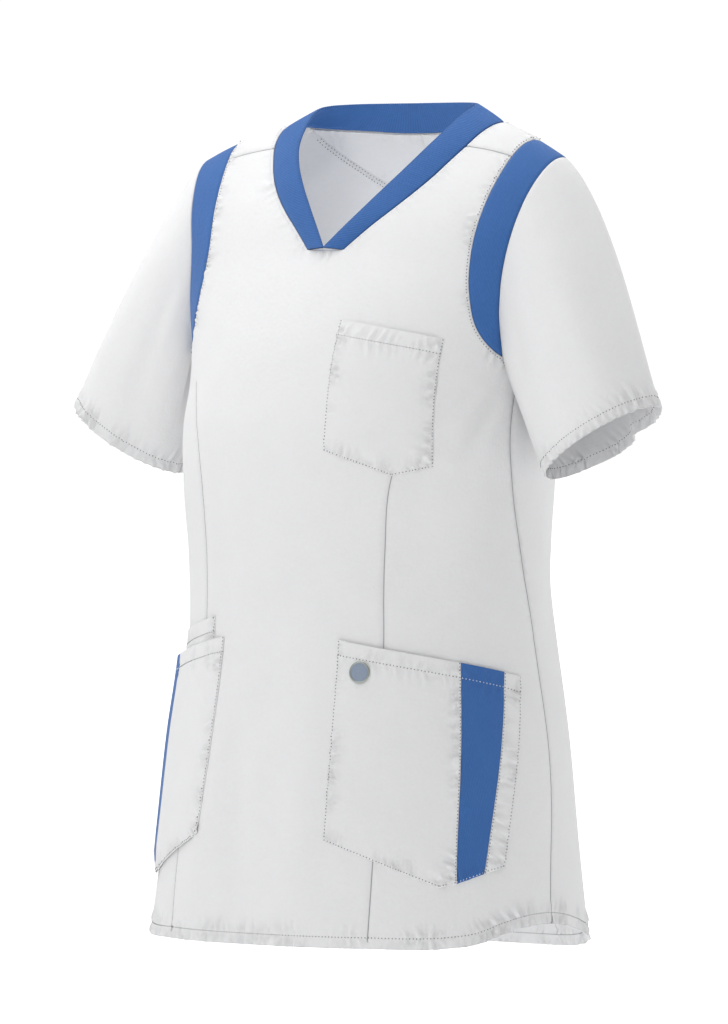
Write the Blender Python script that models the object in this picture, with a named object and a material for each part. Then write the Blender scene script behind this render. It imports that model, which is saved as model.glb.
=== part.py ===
"""A short-sleeved V-neck medical tunic, filled out as worn, built piece by piece as it is cut and sewn.

Metres, +Z up. The front faces -Y and the wearer's left is +X. The origin is midway between the shoulders,
where they carry the tunic. Every piece is a closed wall of cloth. A place on the body is given by two
angles: the lean, out from the centre plane, and the turn over the shoulder ridge, which is zero on the
ridge, negative down the front and positive down the back.
"""

import math

import bmesh
import bpy
import numpy as np

# ---------------------------------------------------------------- driving sizes
WALL = 0.0016  # body cloth
BAND_WALL = 0.0018  # ribbed neck band
POCKET_WALL = 0.0013
SEAM = 0.0003  # each piece stops this far short of its seam
LAYER_GAP = 0.0008  # between a panel and what is sewn on it
FACING_GAP = 0.0018  # between the back and the facing inside it
SHOULDER_ROUND = 0.11  # height over which the shoulder rounds into the front and the back
DART_DEPTH = 0.0009
DART_HALF_WIDTH = 0.0022
BADGE_WALL = 0.0014

LOWER_ROWS = 15  # from hem to underarm
HEM_ROWS = 2  # of those, the rows inside the turned hem
HEM_TURN = 0.0085
BAND_ROWS = 3
INSERT_COLUMNS = 3
SLEEVE_ROWS = 10
SHOULDER_SEAM_COLUMNS = 4
DART_COLUMN = 5  # the panel column that follows the dart
INSERT_TIP = 0.36  # how much of a station's step the insert's pointed ends stop short
POCKET_ROWS = 7
REAR_POCKET_COLUMNS = 10
CHEST_POCKET_COLUMNS = 8
MAIN_COLUMNS = 9
STRIPE_COLUMNS = 3
EDGE_COLUMNS = 2
FACING_ROWS = 4
BADGE_CELLS = 5
SETTLE_ROUNDS = 400  # rounds of evening out a panel's inner points
PLACE_ROUNDS = 14  # rounds of finding the height at which a lean and a turn meet
DIFFERENCE = 1e-4  # step, in radians, over which slopes are taken

# The outline at each height: half its width, and where its front, widest point and back lie along Y.
SECTION_COLUMNS = ("height", "half_width", "front", "side", "back", "squareness")
SECTIONS = (
    (-0.740, 0.2075, -0.192, -0.031, 0.134, 2.10),
    (-0.640, 0.1960, -0.183, -0.029, 0.128, 2.05),
    (-0.550, 0.1885, -0.169, -0.028, 0.122, 2.00),
    (-0.460, 0.1765, -0.155, -0.028, 0.114, 2.00),
    (-0.390, 0.1750, -0.153, -0.034, 0.105, 2.00),
    (-0.320, 0.1790, -0.152, -0.035, 0.100, 2.10),
    (-0.270, 0.1805, -0.147, -0.028, 0.098, 2.15),
    (-0.235, 0.1830, -0.139, -0.020, 0.096, 2.10),
    (-0.200, 0.1905, -0.128, -0.014, 0.093, 2.05),
    (-0.160, 0.2050, -0.110, -0.016, 0.089, 2.00),
    (-0.120, 0.2160, -0.090, -0.022, 0.083, 2.00),
    (-0.080, 0.2300, -0.074, -0.036, 0.075, 2.00),
    (-0.040, 0.2420, -0.059, -0.046, 0.067, 2.00),
    (0.0200, 0.2500, -0.050, -0.047, 0.057, 2.00),
)

# The top line of the shoulder, outwards from the neck.
RIDGE_COLUMNS = ("out", "along", "height")
RIDGE = (
    (0.000, 0.020, 0.0020),
    (0.060, 0.018, 0.0000),
    (0.118, 0.012, -0.0100),
    (0.168, -0.004, -0.0267),
    (0.204, -0.009, -0.0433),
    (0.250, -0.012, -0.0680),
)

# The hem line, from centre front round to centre back.
HEM_COLUMNS = ("angle", "height")
HEM = (
    (0, -0.7180),
    (30, -0.7182),
    (53, -0.7178),
    (62, -0.7147),
    (71, -0.7065),
    (80, -0.7010),
    (90, -0.6998),
    (98, -0.7030),
    (105, -0.7085),
    (112, -0.7150),
    (119, -0.7215),
    (128, -0.7260),
    (145, -0.7285),
    (180, -0.7305),
)

# Where the side seam runs, as an angle round from centre front.
SIDE_COLUMNS = ("height", "angle")
SIDE_SEAM = (
    (-0.730, 89.0),
    (-0.698, 89.8),
    (-0.658, 91.5),
    (-0.604, 94.3),
    (-0.5575, 95.2),
    (-0.513, 94.8),
    (-0.445, 92.5),
    (-0.384, 88.6),
    (-0.331, 83.1),
    (-0.290, 79.8),
    (-0.2326, 77.2),
)

# The long darts from the hem, as leans. The front ones swing out at the bust.
DART_COLUMNS = ("height", "front", "back")
DART_TOPS = {"front": -0.237, "back": -0.280}
DARTS = (
    (-0.730, 31.0, 27.0),
    (-0.650, 33.0, 27.5),
    (-0.550, 34.0, 28.0),
    (-0.460, 34.4, 28.5),
    (-0.380, 34.6, 28.5),
    (-0.320, 35.2, 28.0),
    (-0.290, 37.6, 28.0),
    (-0.260, 42.0, 28.0),
    (-0.2326, 47.0, 28.0),
)
UNDERARM_HEIGHT = -0.2326

# The armhole, round from the underarm by the front, the shoulder and the back to the underarm again.
# The panel edge and the sleeve edge part at the front tip and meet at the back tip: the insert lies between.
ARMHOLE_COLUMNS = ("panel_lean", "panel_turn", "sleeve_lean", "sleeve_turn")
ARMHOLE = (
    (77.2, -137.5, 77.2, -137.5),
    (74.9, -135.5, 74.9, -135.5),
    (70.9, -132.0, 70.9, -132.0),
    (67.8, -128.6, 67.8, -128.6),
    (63.2, -126.6, 65.6, -122.9),
    (57.6, -122.6, 63.0, -116.5),
    (52.5, -116.6, 60.3, -109.5),
    (48.6, -108.6, 58.2, -102.0),
    (45.4, -99.0, 56.6, -94.0),
    (43.2, -87.5, 55.5, -84.5),
    (41.8, -75.0, 54.6, -73.5),
    (41.0, -60.0, 54.0, -60.0),
    (40.8, -46.0, 53.8, -46.5),
    (41.0, -32.0, 54.1, -32.0),
    (41.6, -16.0, 54.7, -16.0),
    (42.3, 0.0, 55.3, 0.0),
    (42.7, 16.0, 55.6, 16.0),
    (42.6, 32.0, 55.5, 32.0),
    (42.3, 46.0, 55.5, 46.5),
    (42.4, 60.0, 55.7, 60.0),
    (43.1, 75.0, 56.2, 73.5),
    (44.6, 87.5, 57.2, 84.5),
    (46.8, 99.0, 58.6, 94.0),
    (49.9, 108.6, 60.4, 102.0),
    (54.0, 116.6, 63.0, 109.5),
    (59.3, 122.6, 66.2, 116.5),
    (65.6, 126.6, 69.6, 122.6),
    (72.8, 129.0, 72.8, 129.0),
    (80.5, 132.2, 80.5, 132.2),
    (88.5, 135.0, 88.5, 135.0),
    (96.0, 136.8, 96.0, 136.8),
    (102.8, 137.5, 102.8, 137.5),
)
FRONT_TIP = 3
SHOULDER_SEAM = 13
RIDGE_STATION = 15
BACK_TIP = 27

# The neckline, from centre front round to centre back: level at the V, then up past the shoulder seam.
NECKLINE_COLUMNS = ("lean", "turn")
NECKLINE = (
    (0.0, -96.2),
    (5.4, -96.2),
    (10.5, -86.6),
    (15.0, -78.0),
    (18.9, -69.0),
    (22.0, -59.5),
    (24.3, -49.0),
    (26.2, -38.0),
    (27.4, -26.0),
    (28.2, -13.0),
    (28.2, 0.0),
    (26.9, 11.0),
    (24.0, 19.0),
    (19.5, 25.5),
    (13.5, 30.5),
    (7.0, 33.5),
    (0.0, 34.6),
)
V_CORNER = 1
NECK_POINT = 7

# The free edge of the neck band, one row for each neckline row from the V corner on.
BAND_COLUMNS = ("out", "along", "height")
BAND_EDGE = (
    (0.0003, -0.0932, -0.1185),
    (0.0165, -0.0832, -0.0995),
    (0.0325, -0.0732, -0.0815),
    (0.0475, -0.0632, -0.0645),
    (0.0600, -0.0532, -0.0495),
    (0.0700, -0.0425, -0.0355),
    (0.0765, -0.0315, -0.0240),
    (0.0812, -0.0190, -0.0130),
    (0.0850, -0.0055, -0.0030),
    (0.0868, 0.0080, 0.0040),
    (0.0830, 0.0185, 0.0066),
    (0.0725, 0.0270, 0.0076),
    (0.0570, 0.0330, 0.0080),
    (0.0390, 0.0365, 0.0080),
    (0.0200, 0.0383, 0.0079),
    (0.0000, 0.0390, 0.0078),
)

# The sleeve: how it leaves the armhole, by share of the way from underarm to ridge, and its hem ellipse.
SLEEVE_START_COLUMNS = ("share", "out", "away", "down")
SLEEVE_START = (
    (0.00, 0.010, 0.000, 0.085),
    (0.30, 0.050, 0.030, 0.085),
    (0.65, 0.100, 0.040, 0.110),
    (1.00, 0.165, 0.000, 0.125),
)
SLEEVE_HEM_CENTRE = (0.265, -0.037, -0.2855)
SLEEVE_HEM_TILT = math.radians(30)
SLEEVE_HEM_ACROSS = 0.0640
SLEEVE_HEM_DEEP = 0.0435
SLEEVE_HEM_PULL = 0.10
SLEEVE_BACK_DENT = 0.10
SLEEVE_DENT_PLACE = 0.72
SLEEVE_DENT_WIDTH = 0.16
SLEEVE_ROW_GROWTH = 1.15
SLEEVE_HEM_SHARE = 0.95
SLEEVE_SEAM = 1.2 * SEAM

# The sewn-on pieces, as leans and heights along their top and bottom edges.
CHEST_POCKET = (
    ((11.6, -0.1812), (44.9, -0.1974)),
    ((13.0, -0.2937), (35.4, -0.3146), (49.3, -0.3072)),
)
POCKET_MAIN = (
    ((20.2, -0.4558), (34.8, -0.4630), (59.0, -0.4747)),
    ((19.3, -0.6272), (51.6, -0.6660), (56.5, -0.6630)),
)
POCKET_STRIPE = (
    ((59.5, -0.4749), (75.6, -0.4831)),
    ((57.0, -0.6627), (65.2, -0.6548)),
)
POCKET_EDGE = (
    ((76.1, -0.4833), (83.6, -0.4879)),
    ((65.7, -0.6544), (72.7, -0.6493)),
)
REAR_POCKET = (
    ((28.2, -0.4390), (80.0, -0.4660)),
    ((26.0, -0.6260), (52.0, -0.6540), (68.0, -0.6420)),
)

# The facing, from its end near the shoulder to centre back, with the turns of its top and its bottom.
FACING_COLUMNS = ("lean", "top", "bottom")
FACING = (
    (24.6, 24.0, 29.0),
    (23.9, 25.0, 34.0),
    (22.0, 28.0, 41.5),
    (18.5, 32.0, 52.0),
    (13.5, 35.5, 62.5),
    (7.2, 38.0, 69.5),
    (0.0, 39.0, 72.0),
)

BADGE_PLACE = (27.5, -0.4835)
BADGE_HALF_WIDTH = 0.0085
BADGE_HALF_HEIGHT = 0.0095

WHITE = (0.80, 0.81, 0.83)
BLUE = (0.062, 0.165, 0.420)
GREY = (0.45, 0.47, 0.50)


# ---------------------------------------------------------------- curves through tables
def column(rows, names, name):
    return np.array([row[names.index(name)] for row in rows], dtype=float)


def smooth(knots, values, at):
    """A curve through the values, whose slope at each knot comes from its neighbours."""
    slopes = np.gradient(values, knots)
    at = np.clip(at, knots[0], knots[-1])
    first = np.clip(np.searchsorted(knots, at, side="right") - 1, 0, len(knots) - 2)
    width = knots[first + 1] - knots[first]
    t = (at - knots[first]) / width
    rise = values[first + 1] - values[first]
    bend_in = slopes[first] * width - rise
    bend_out = rise - slopes[first + 1] * width
    return values[first] + t * rise + t * (1 - t) * (bend_in * (1 - t) + bend_out * t)


def from_table(rows, names, name, at):
    return smooth(column(rows, names, names[0]), column(rows, names, name), at)


def along_line(points, shares):
    """Places on a straight-sided line, by share of the first coordinate's way from its start to its end."""
    points = np.array(points, dtype=float)
    way = np.abs(points[:, 0] - points[0, 0])
    way = way / way[-1]
    return np.stack([np.interp(shares, way, points[:, 0]), np.interp(shares, way, points[:, 1])], axis=-1)


def unit(vectors):
    return vectors / np.linalg.norm(vectors, axis=-1, keepdims=True)


# ---------------------------------------------------------------- the worn body
def section(angle, height):
    """The outline at a height, as X and Y, at an angle round from centre front."""
    half, front, side, back, power = (
        from_table(SECTIONS, SECTION_COLUMNS, name, height) for name in SECTION_COLUMNS[1:]
    )
    across = np.sign(np.sin(angle)) * np.abs(np.sin(angle)) ** (2 / power)
    away = np.abs(np.cos(angle)) ** (2 / power)
    reach = np.where(np.cos(angle) > 0, front, back) - side
    return half * across, side + reach * away


def ridge(out):
    out = np.abs(out)
    return from_table(RIDGE, RIDGE_COLUMNS, "along", out), from_table(RIDGE, RIDGE_COLUMNS, "height", out)


def body_point(lean, turn):
    """The place on the body's surface at a lean and a turn, both in radians."""
    lean, turn = np.broadcast_arrays(np.asarray(lean, dtype=float), np.asarray(turn, dtype=float))
    steep = np.abs(turn)
    fall = np.where(steep < math.pi / 2, 1 - np.cos(steep), 1 + steep - math.pi / 2)
    angle = np.where(turn < 0, lean, math.pi - lean)
    out = 0.2 * np.sin(lean)
    for _ in range(PLACE_ROUNDS):
        height = ridge(out)[1] - SHOULDER_ROUND * fall
        out, along = section(angle, height)
    top = ridge(out)[0]
    away = np.sin(np.minimum(steep, math.pi / 2))
    return np.stack([out, top + (along - top) * away, height], axis=-1)


def turn_at(lean, height, back):
    """The turn at which a lean reaches a height, on the back or on the front."""
    out = section(math.pi - lean if back else lean, height)[0]
    fall = np.maximum(ridge(out)[1] - height, 0) / SHOULDER_ROUND
    steep = np.where(fall < 1, np.arccos(np.clip(1 - fall, -1, 1)), fall - 1 + math.pi / 2)
    return steep if back else -steep


def body_normal(lean, turn):
    """The outward direction of the body's surface."""
    by_lean = body_point(lean + DIFFERENCE, turn) - body_point(lean - DIFFERENCE, turn)
    by_turn = body_point(lean, turn + DIFFERENCE) - body_point(lean, turn - DIFFERENCE)
    return unit(np.cross(by_lean, by_turn))


# ---------------------------------------------------------------- seam lines
def stations(rows, names, *wanted):
    return np.radians(np.stack([column(rows, names, name) for name in wanted], axis=-1))


PANEL_EDGE = stations(ARMHOLE, ARMHOLE_COLUMNS, "panel_lean", "panel_turn")
SLEEVE_EDGE = stations(ARMHOLE, ARMHOLE_COLUMNS, "sleeve_lean", "sleeve_turn")
NECK_EDGE = stations(NECKLINE, NECKLINE_COLUMNS, "lean", "turn")


def side_lean(height, back):
    angle = np.radians(from_table(SIDE_SEAM, SIDE_COLUMNS, "angle", height))
    return math.pi - angle if back else angle


def hem_height(lean, back):
    angle = np.degrees(math.pi - lean if back else lean)
    return from_table(HEM, HEM_COLUMNS, "height", angle)


def sleeve_grid():
    """The sleeve's outer points: a row for each step down the sleeve, a column for each armhole station."""
    edge = SLEEVE_EDGE[:-1]
    start = body_point(edge[:, 0], edge[:, 1])
    loop = np.vstack([start, start[:1]])
    way = np.concatenate([[0], np.cumsum(np.linalg.norm(np.diff(loop, axis=0), axis=1))])
    up = way[: RIDGE_STATION + 1] / way[RIDGE_STATION]
    down = 1 - (way[RIDGE_STATION + 1 : -1] - way[RIDGE_STATION]) / (way[-1] - way[RIDGE_STATION])
    share = np.concatenate([up, down])
    facing = np.where(np.arange(len(share)) <= RIDGE_STATION, -1.0, 1.0)
    out, away, fall = (
        from_table(SLEEVE_START, SLEEVE_START_COLUMNS, name, share) for name in SLEEVE_START_COLUMNS[1:]
    )
    leave = np.stack([out, facing * away, -fall], axis=-1)
    around = math.pi * (1 - share)
    near_dent = np.exp(-(((share - SLEEVE_DENT_PLACE) / SLEEVE_DENT_WIDTH) ** 2))
    dent = 1 - SLEEVE_BACK_DENT * near_dent * (facing > 0)
    outward = np.array([math.cos(SLEEVE_HEM_TILT), 0, math.sin(SLEEVE_HEM_TILT)])
    downward = np.array([math.sin(SLEEVE_HEM_TILT), 0, -math.cos(SLEEVE_HEM_TILT)])
    across = (SLEEVE_HEM_ACROSS * dent * np.cos(around))[:, None] * outward
    deep = (SLEEVE_HEM_DEEP * dent * np.sin(around) * facing)[:, None] * np.array([0, 1, 0])
    end = np.array(SLEEVE_HEM_CENTRE) + across + deep
    rows = []
    for t in sleeve_shares():
        keep_start = 2 * t**3 - 3 * t**2 + 1
        pull_start = t**3 - 2 * t**2 + t
        pull_end = t**3 - t**2
        places = keep_start * start + (1 - keep_start) * end
        rows.append(places + pull_start * leave + pull_end * SLEEVE_HEM_PULL * downward)
    return np.array(rows)


def sleeve_shares():
    """Shares of the sleeve's length, closer together at the cap and with one row at the hem's stitching."""
    shares = np.linspace(0, 1, SLEEVE_ROWS) ** SLEEVE_ROW_GROWTH * SLEEVE_HEM_SHARE
    return np.append(shares, 1.0)


def grid_normals(points, around=False):
    """The directions square to a grid of points, turned away from the garment's inside by the caller."""
    if around:
        padded = np.concatenate([points[:, -1:], points, points[:, :1]], axis=1)
        by_column = (padded[:, 2:] - padded[:, :-2]) / 2
    else:
        by_column = np.gradient(points, axis=1)
    return unit(np.cross(by_column, np.gradient(points, axis=0)))


SLEEVE = sleeve_grid()
SLEEVE_NORMALS = -grid_normals(SLEEVE, around=True)
SLEEVE_SEAM_BODY = body_normal(SLEEVE_EDGE[:-1, 0], SLEEVE_EDGE[:-1, 1])
SLEEVE_SEAM_WAY = unit(SLEEVE_SEAM_BODY + SLEEVE_NORMALS[0])


def band_grid():
    """The neck band's outer points for the wearer's left half: rows from the neckline to the free edge."""
    seam = body_point(NECK_EDGE[V_CORNER:, 0], NECK_EDGE[V_CORNER:, 1])
    free = np.stack([column(BAND_EDGE, BAND_COLUMNS, name) for name in BAND_COLUMNS], axis=-1)
    return np.array([seam + (free - seam) * t for t in np.linspace(0, 1, BAND_ROWS + 1)])


BAND_HALF = band_grid()
BAND_NORMALS = grid_normals(BAND_HALF)
NECK_SEAM_BODY = body_normal(NECK_EDGE[:, 0], NECK_EDGE[:, 1])
NECK_SEAM_WAY = unit(NECK_SEAM_BODY + np.vstack([BAND_NORMALS[0][:1], BAND_NORMALS[0]]))
NECK_SEAM_WAY[0] = NECK_SEAM_BODY[0]


# ---------------------------------------------------------------- making pieces
def material(name, colour, roughness):
    finish = bpy.data.materials.new(name)
    finish.use_nodes = True
    shader = finish.node_tree.nodes["Principled BSDF"]
    shader.inputs["Base Color"].default_value = (*colour, 1.0)
    shader.inputs["Roughness"].default_value = roughness
    shader.inputs["Metallic"].default_value = 0.0
    return finish


def wall(name, inner, outer, finish, around=False):
    """One closed wall between two grids of points; around joins the last column to the first."""
    rows, columns = inner.shape[:2]
    places = np.arange(rows * columns).reshape(rows, columns)
    if around:
        places = np.concatenate([places, places[:, :1]], axis=1)
    shift = rows * columns
    quads = []
    for row in range(rows - 1):
        for col in range(places.shape[1] - 1):
            corners = (places[row, col], places[row, col + 1], places[row + 1, col + 1], places[row + 1, col])
            quads.append(corners)
            quads.append(tuple(corner + shift for corner in reversed(corners)))
    rims = [places[0], places[-1][::-1]]
    if not around:
        rims += [places[:, -1], places[::-1, 0]]
    for rim in rims:
        for one, two in zip(rim[:-1], rim[1:]):
            quads.append((two, one, one + shift, two + shift))
    mesh = bpy.data.meshes.new(name)
    points = np.concatenate([outer.reshape(-1, 3), inner.reshape(-1, 3)])
    mesh.from_pydata(points.tolist(), [], [tuple(int(v) for v in quad) for quad in quads])
    shape = bmesh.new()
    shape.from_mesh(mesh)
    bmesh.ops.recalc_face_normals(shape, faces=shape.faces[:])
    shape.to_mesh(mesh)
    shape.free()
    mesh.materials.append(finish)
    mesh.shade_smooth()
    piece = bpy.data.objects.new(name, mesh)
    bpy.context.scene.collection.objects.link(piece)
    return piece


def trimmed(points, sides):
    """The grid with the named sides moved in from their seams, square to each side."""
    result = points.copy()
    views = {
        "bottom": (points[0], points[1], result[0]),
        "top": (points[-1], points[-2], result[-1]),
        "left": (points[:, 0], points[:, 1], result[:, 0]),
        "right": (points[:, -1], points[:, -2], result[:, -1]),
    }
    for side in sides:
        edge, inside, target = views[side]
        along = unit(np.gradient(edge, axis=0))
        into = inside - edge
        into = into - np.sum(into * along, axis=-1, keepdims=True) * along
        target += SEAM * unit(into)
    return result


def mirrored(points):
    return points * np.array([-1.0, 1.0, 1.0])


def both_halves(half):
    """A left half, whose first column is on the centre plane, joined with its mirror image."""
    return np.concatenate([mirrored(half[:, :0:-1]), half], axis=1)


# ---------------------------------------------------------------- body panels
def lower_leans(height, back, columns):
    """The leans of a panel's columns at a height, with three of them on the dart."""
    name = "back" if back else "front"
    dart = math.radians(float(from_table(DARTS, DART_COLUMNS, name, height)))
    side = float(side_lean(height, back))
    half = float(section(math.pi / 2, height)[0])
    lip = DART_HALF_WIDTH / (half * math.cos(dart))
    inner = np.linspace(0, dart - lip, DART_COLUMN)
    outer = np.linspace(dart + lip, side, columns - DART_COLUMN)
    return np.concatenate([inner, [dart], outer])


def level_shares():
    """Shares of the way from the hem to the underarm, with rows close together at the turned hem."""
    turned = HEM_TURN / (UNDERARM_HEIGHT - HEM[6][1])
    above = np.linspace(turned, 1, LOWER_ROWS - HEM_ROWS + 2)
    return np.concatenate([np.linspace(0, turned, HEM_ROWS), above[1:]])


def settled(grid):
    """The grid with its inner points spread evenly between its edges, so that no row or column folds over."""
    grid = grid.copy()
    for _ in range(SETTLE_ROUNDS):
        by_column = (grid[1:-1, 2:] - grid[1:-1, :-2]) / 2
        by_row = (grid[2:, 1:-1] - grid[:-2, 1:-1]) / 2
        mixed = (grid[2:, 2:] - grid[2:, :-2] - grid[:-2, 2:] + grid[:-2, :-2]) / 2
        along_rows = np.sum(by_row**2, axis=-1, keepdims=True)
        along_columns = np.sum(by_column**2, axis=-1, keepdims=True)
        skew = np.sum(by_column * by_row, axis=-1, keepdims=True)
        level = along_rows * (grid[1:-1, 2:] + grid[1:-1, :-2])
        upright = along_columns * (grid[2:, 1:-1] + grid[:-2, 1:-1])
        grid[1:-1, 1:-1] = (level + upright - skew * mixed) / (2 * (along_rows + along_columns))
    return grid


def panel(back, top, armhole):
    """Leans and turns of a half panel: level rows to the underarm, then a patch to the neck and shoulder."""
    columns = len(top) - 1
    lean_rows = []
    turn_rows = []
    for share in level_shares():
        edge = side_lean(UNDERARM_HEIGHT, back)
        for _ in range(3):
            side_height = hem_height(edge, back) * (1 - share) + UNDERARM_HEIGHT * share
            edge = side_lean(side_height, back)
        leans = lower_leans(float(side_height), back, columns)
        heights = hem_height(leans, back) * (1 - share) + UNDERARM_HEIGHT * share
        lean_rows.append(leans)
        turn_rows.append(turn_at(leans, heights, back))
    base = np.stack([lean_rows[-1], turn_rows[-1]], axis=-1)
    base[-1] = armhole[0]
    lean_rows[-1][-1], turn_rows[-1][-1] = armhole[0]
    rows = len(armhole) - 1
    centre = np.stack([np.zeros(rows + 1), np.linspace(base[0, 1], top[0, 1], rows + 1)], axis=-1)
    across = np.arange(columns + 1)[:, None] / columns
    patch = []
    for row in range(rows + 1):
        up = row / rows
        level = (1 - up) * base + up * top
        sides = (1 - across) * centre[row] + across * armhole[row]
        patch.append(level + sides - (1 - across) * level[0] - across * level[-1])
    patch = settled(np.array(patch))[1:]
    lean = np.concatenate([lean_rows, patch[:, :, 0]])
    turn = np.concatenate([turn_rows, patch[:, :, 1]])
    return lean, turn


def body_panel(name, back, finish):
    seam_line = np.linspace(NECK_EDGE[NECK_POINT], PANEL_EDGE[SHOULDER_SEAM], SHOULDER_SEAM_COLUMNS + 1)
    if back:
        neck = NECK_EDGE[: NECK_POINT - 1 : -1]
        armhole = PANEL_EDGE[: SHOULDER_SEAM - 1 : -1]
        on_sleeve = len(ARMHOLE) - 1 - BACK_TIP
        seam_ways = SLEEVE_SEAM_WAY[np.arange(0, -on_sleeve - 1, -1)]
        neck_ways = NECK_SEAM_WAY[: NECK_POINT - 1 : -1]
    else:
        neck = NECK_EDGE[: NECK_POINT + 1]
        armhole = PANEL_EDGE[: SHOULDER_SEAM + 1]
        on_sleeve = FRONT_TIP
        seam_ways = SLEEVE_SEAM_WAY[: on_sleeve + 1]
        neck_ways = NECK_SEAM_WAY[: NECK_POINT + 1]
    top = np.concatenate([neck, seam_line[1:]])
    lean, turn = panel(back, top, armhole)
    outer = body_point(lean, turn)
    ways = body_normal(lean, turn)
    under = outer[:, :, 2] < DART_TOPS[name]
    sunk = np.zeros(outer.shape[:2])
    sunk[:, DART_COLUMN] = DART_DEPTH * under[:, DART_COLUMN]
    outer = outer - ways * sunk[:, :, None]
    first = len(lean) - len(armhole)
    ways[first : first + on_sleeve + 1, -1] = seam_ways
    ways[-1, : len(neck)] = neck_ways
    ways[:, 0] = unit(ways[:, 0] * np.array([0, 1, 1]))
    sides = ["top", "right"]
    inner = outer - WALL * ways
    outer_grid = both_halves(trimmed(outer, sides))
    inner_grid = both_halves(trimmed(inner, sides))
    return wall(name, inner_grid, outer_grid, finish)


# ---------------------------------------------------------------- the other pieces
def shoulder_insert(name, side, finish):
    """The strip between the panels and the sleeve, from the front tip over the shoulder to the back tip."""
    lean_turn = []
    edge_ways = []
    places = [FRONT_TIP + INSERT_TIP, *range(FRONT_TIP + 1, BACK_TIP), BACK_TIP - INSERT_TIP]
    count = np.arange(len(ARMHOLE))
    for place in places:
        inner_edge = np.array([np.interp(place, count, PANEL_EDGE[:, axis]) for axis in (0, 1)])
        outer_edge = np.array([np.interp(place, count, SLEEVE_EDGE[:, axis]) for axis in (0, 1)])
        across = np.linspace(0, 1, INSERT_COLUMNS + 1)[:, None]
        lean_turn.append(inner_edge + (outer_edge - inner_edge) * across)
        way = [np.interp(place, count[:-1], SLEEVE_SEAM_WAY[:, axis]) for axis in range(3)]
        edge_ways.append(unit(np.array(way)))
    lean_turn = np.array(lean_turn)
    outer = body_point(lean_turn[:, :, 0], lean_turn[:, :, 1])
    ways = body_normal(lean_turn[:, :, 0], lean_turn[:, :, 1])
    ways[:, -1] = np.array(edge_ways)
    for end, beside, tip in ((0, 1, FRONT_TIP), (-1, -2, BACK_TIP)):
        ways[end, 0] = (1 - INSERT_TIP) * SLEEVE_SEAM_WAY[tip] + INSERT_TIP * ways[beside, 0]
        ways[end] = unit((1 - across) * ways[end, 0] + across * ways[end, -1])
    sides = ["left", "right"]
    inner = trimmed(outer - WALL * ways, sides)
    outer = trimmed(outer, sides)
    if side < 0:
        inner, outer = mirrored(inner), mirrored(outer)
    return wall(name, inner, outer, finish)


def sleeve(name, side, finish):
    """The sleeve, a tube from the armhole seam down to its open hem."""
    ways = SLEEVE_NORMALS.copy()
    ways[0] = SLEEVE_SEAM_WAY
    inner = SLEEVE - WALL * ways
    outer = SLEEVE.copy()
    for grid in (inner, outer):
        grid[0] += SLEEVE_SEAM * unit(grid[1] - grid[0])
    if side < 0:
        inner, outer = mirrored(inner), mirrored(outer)
    return wall(name, inner, outer, finish, around=True)


def neck_band(name, finish):
    """The ribbed band: one strip from the V, round the neck and back, its two ends cut level."""
    ways = BAND_NORMALS.copy()
    ways[0] = NECK_SEAM_WAY[V_CORNER:]
    ways[:, -1] = unit(ways[:, -1] * np.array([0, 1, 1]))
    ways[:, 0] = unit(ways[:, 0] + np.array([0.0, -0.4, 0.0]))
    inner = BAND_HALF - BAND_WALL * ways
    halves = []
    for grid in (inner, BAND_HALF):
        half = trimmed(grid, ["bottom", "left"])
        half[:, 0, 0] = np.maximum(half[:, 0, 0], SEAM)
        halves.append(np.concatenate([half, mirrored(half[:, -2::-1])], axis=1))
    return wall(name, halves[0], halves[1], finish)


def patch_grid(top, bottom, rows, columns):
    """Leans and heights over a sewn-on piece, between its top and bottom edges."""
    shares = np.linspace(0, 1, columns + 1)
    upper = along_line(top, shares)
    lower = along_line(bottom, shares)
    grid = np.array([lower + (upper - lower) * t for t in np.linspace(0, 1, rows + 1)])
    return np.radians(grid[:, :, 0]), grid[:, :, 1]


def front_patch(name, edges, columns, finish, side=1, lift=LAYER_GAP):
    """A flat piece sewn on the front, made from the front's own points moved out."""
    lean, height = patch_grid(edges[0], edges[1], POCKET_ROWS, columns)
    turn = turn_at(lean, height, False)
    base = body_point(lean, turn)
    ways = body_normal(lean, turn)
    inner = base + lift * ways
    outer = base + (lift + POCKET_WALL) * ways
    if side < 0:
        inner, outer = mirrored(inner), mirrored(outer)
    return wall(name, inner, outer, finish)


def back_neck_facing(name, finish):
    """The half-moon piece inside the back, below the neck band."""
    upper = stations(FACING, FACING_COLUMNS, "lean", "top")
    lower = stations(FACING, FACING_COLUMNS, "lean", "bottom")
    grid = np.array([lower + (upper - lower) * t for t in np.linspace(0, 1, FACING_ROWS + 1)])[:, ::-1]
    points = body_point(grid[:, :, 0], grid[:, :, 1])
    ways = body_normal(grid[:, :, 0], grid[:, :, 1])
    ways[:, 0] = unit(ways[:, 0] * np.array([0, 1, 1]))
    outer = points - (WALL + FACING_GAP) * ways
    inner = outer - POCKET_WALL * ways
    return wall(name, both_halves(inner), both_halves(outer), finish)


def badge(name, finish):
    """A plain oval badge near the left pocket's upper corner."""
    lean, height = math.radians(BADGE_PLACE[0]), BADGE_PLACE[1]
    steps = np.linspace(-1, 1, BADGE_CELLS + 1)
    across, up = np.meshgrid(steps, steps)
    round_across = across * np.sqrt(1 - up**2 / 2) * BADGE_HALF_WIDTH
    round_up = up * np.sqrt(1 - across**2 / 2) * BADGE_HALF_HEIGHT
    half = float(section(math.pi / 2, height)[0])
    leans = lean + round_across / (half * math.cos(lean))
    turns = turn_at(leans, height + round_up, False)
    base = body_point(leans, turns)
    ways = body_normal(leans, turns)
    lift = 2 * LAYER_GAP + POCKET_WALL
    return wall(name, base + lift * ways, base + (lift + BADGE_WALL) * ways, finish)


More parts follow.
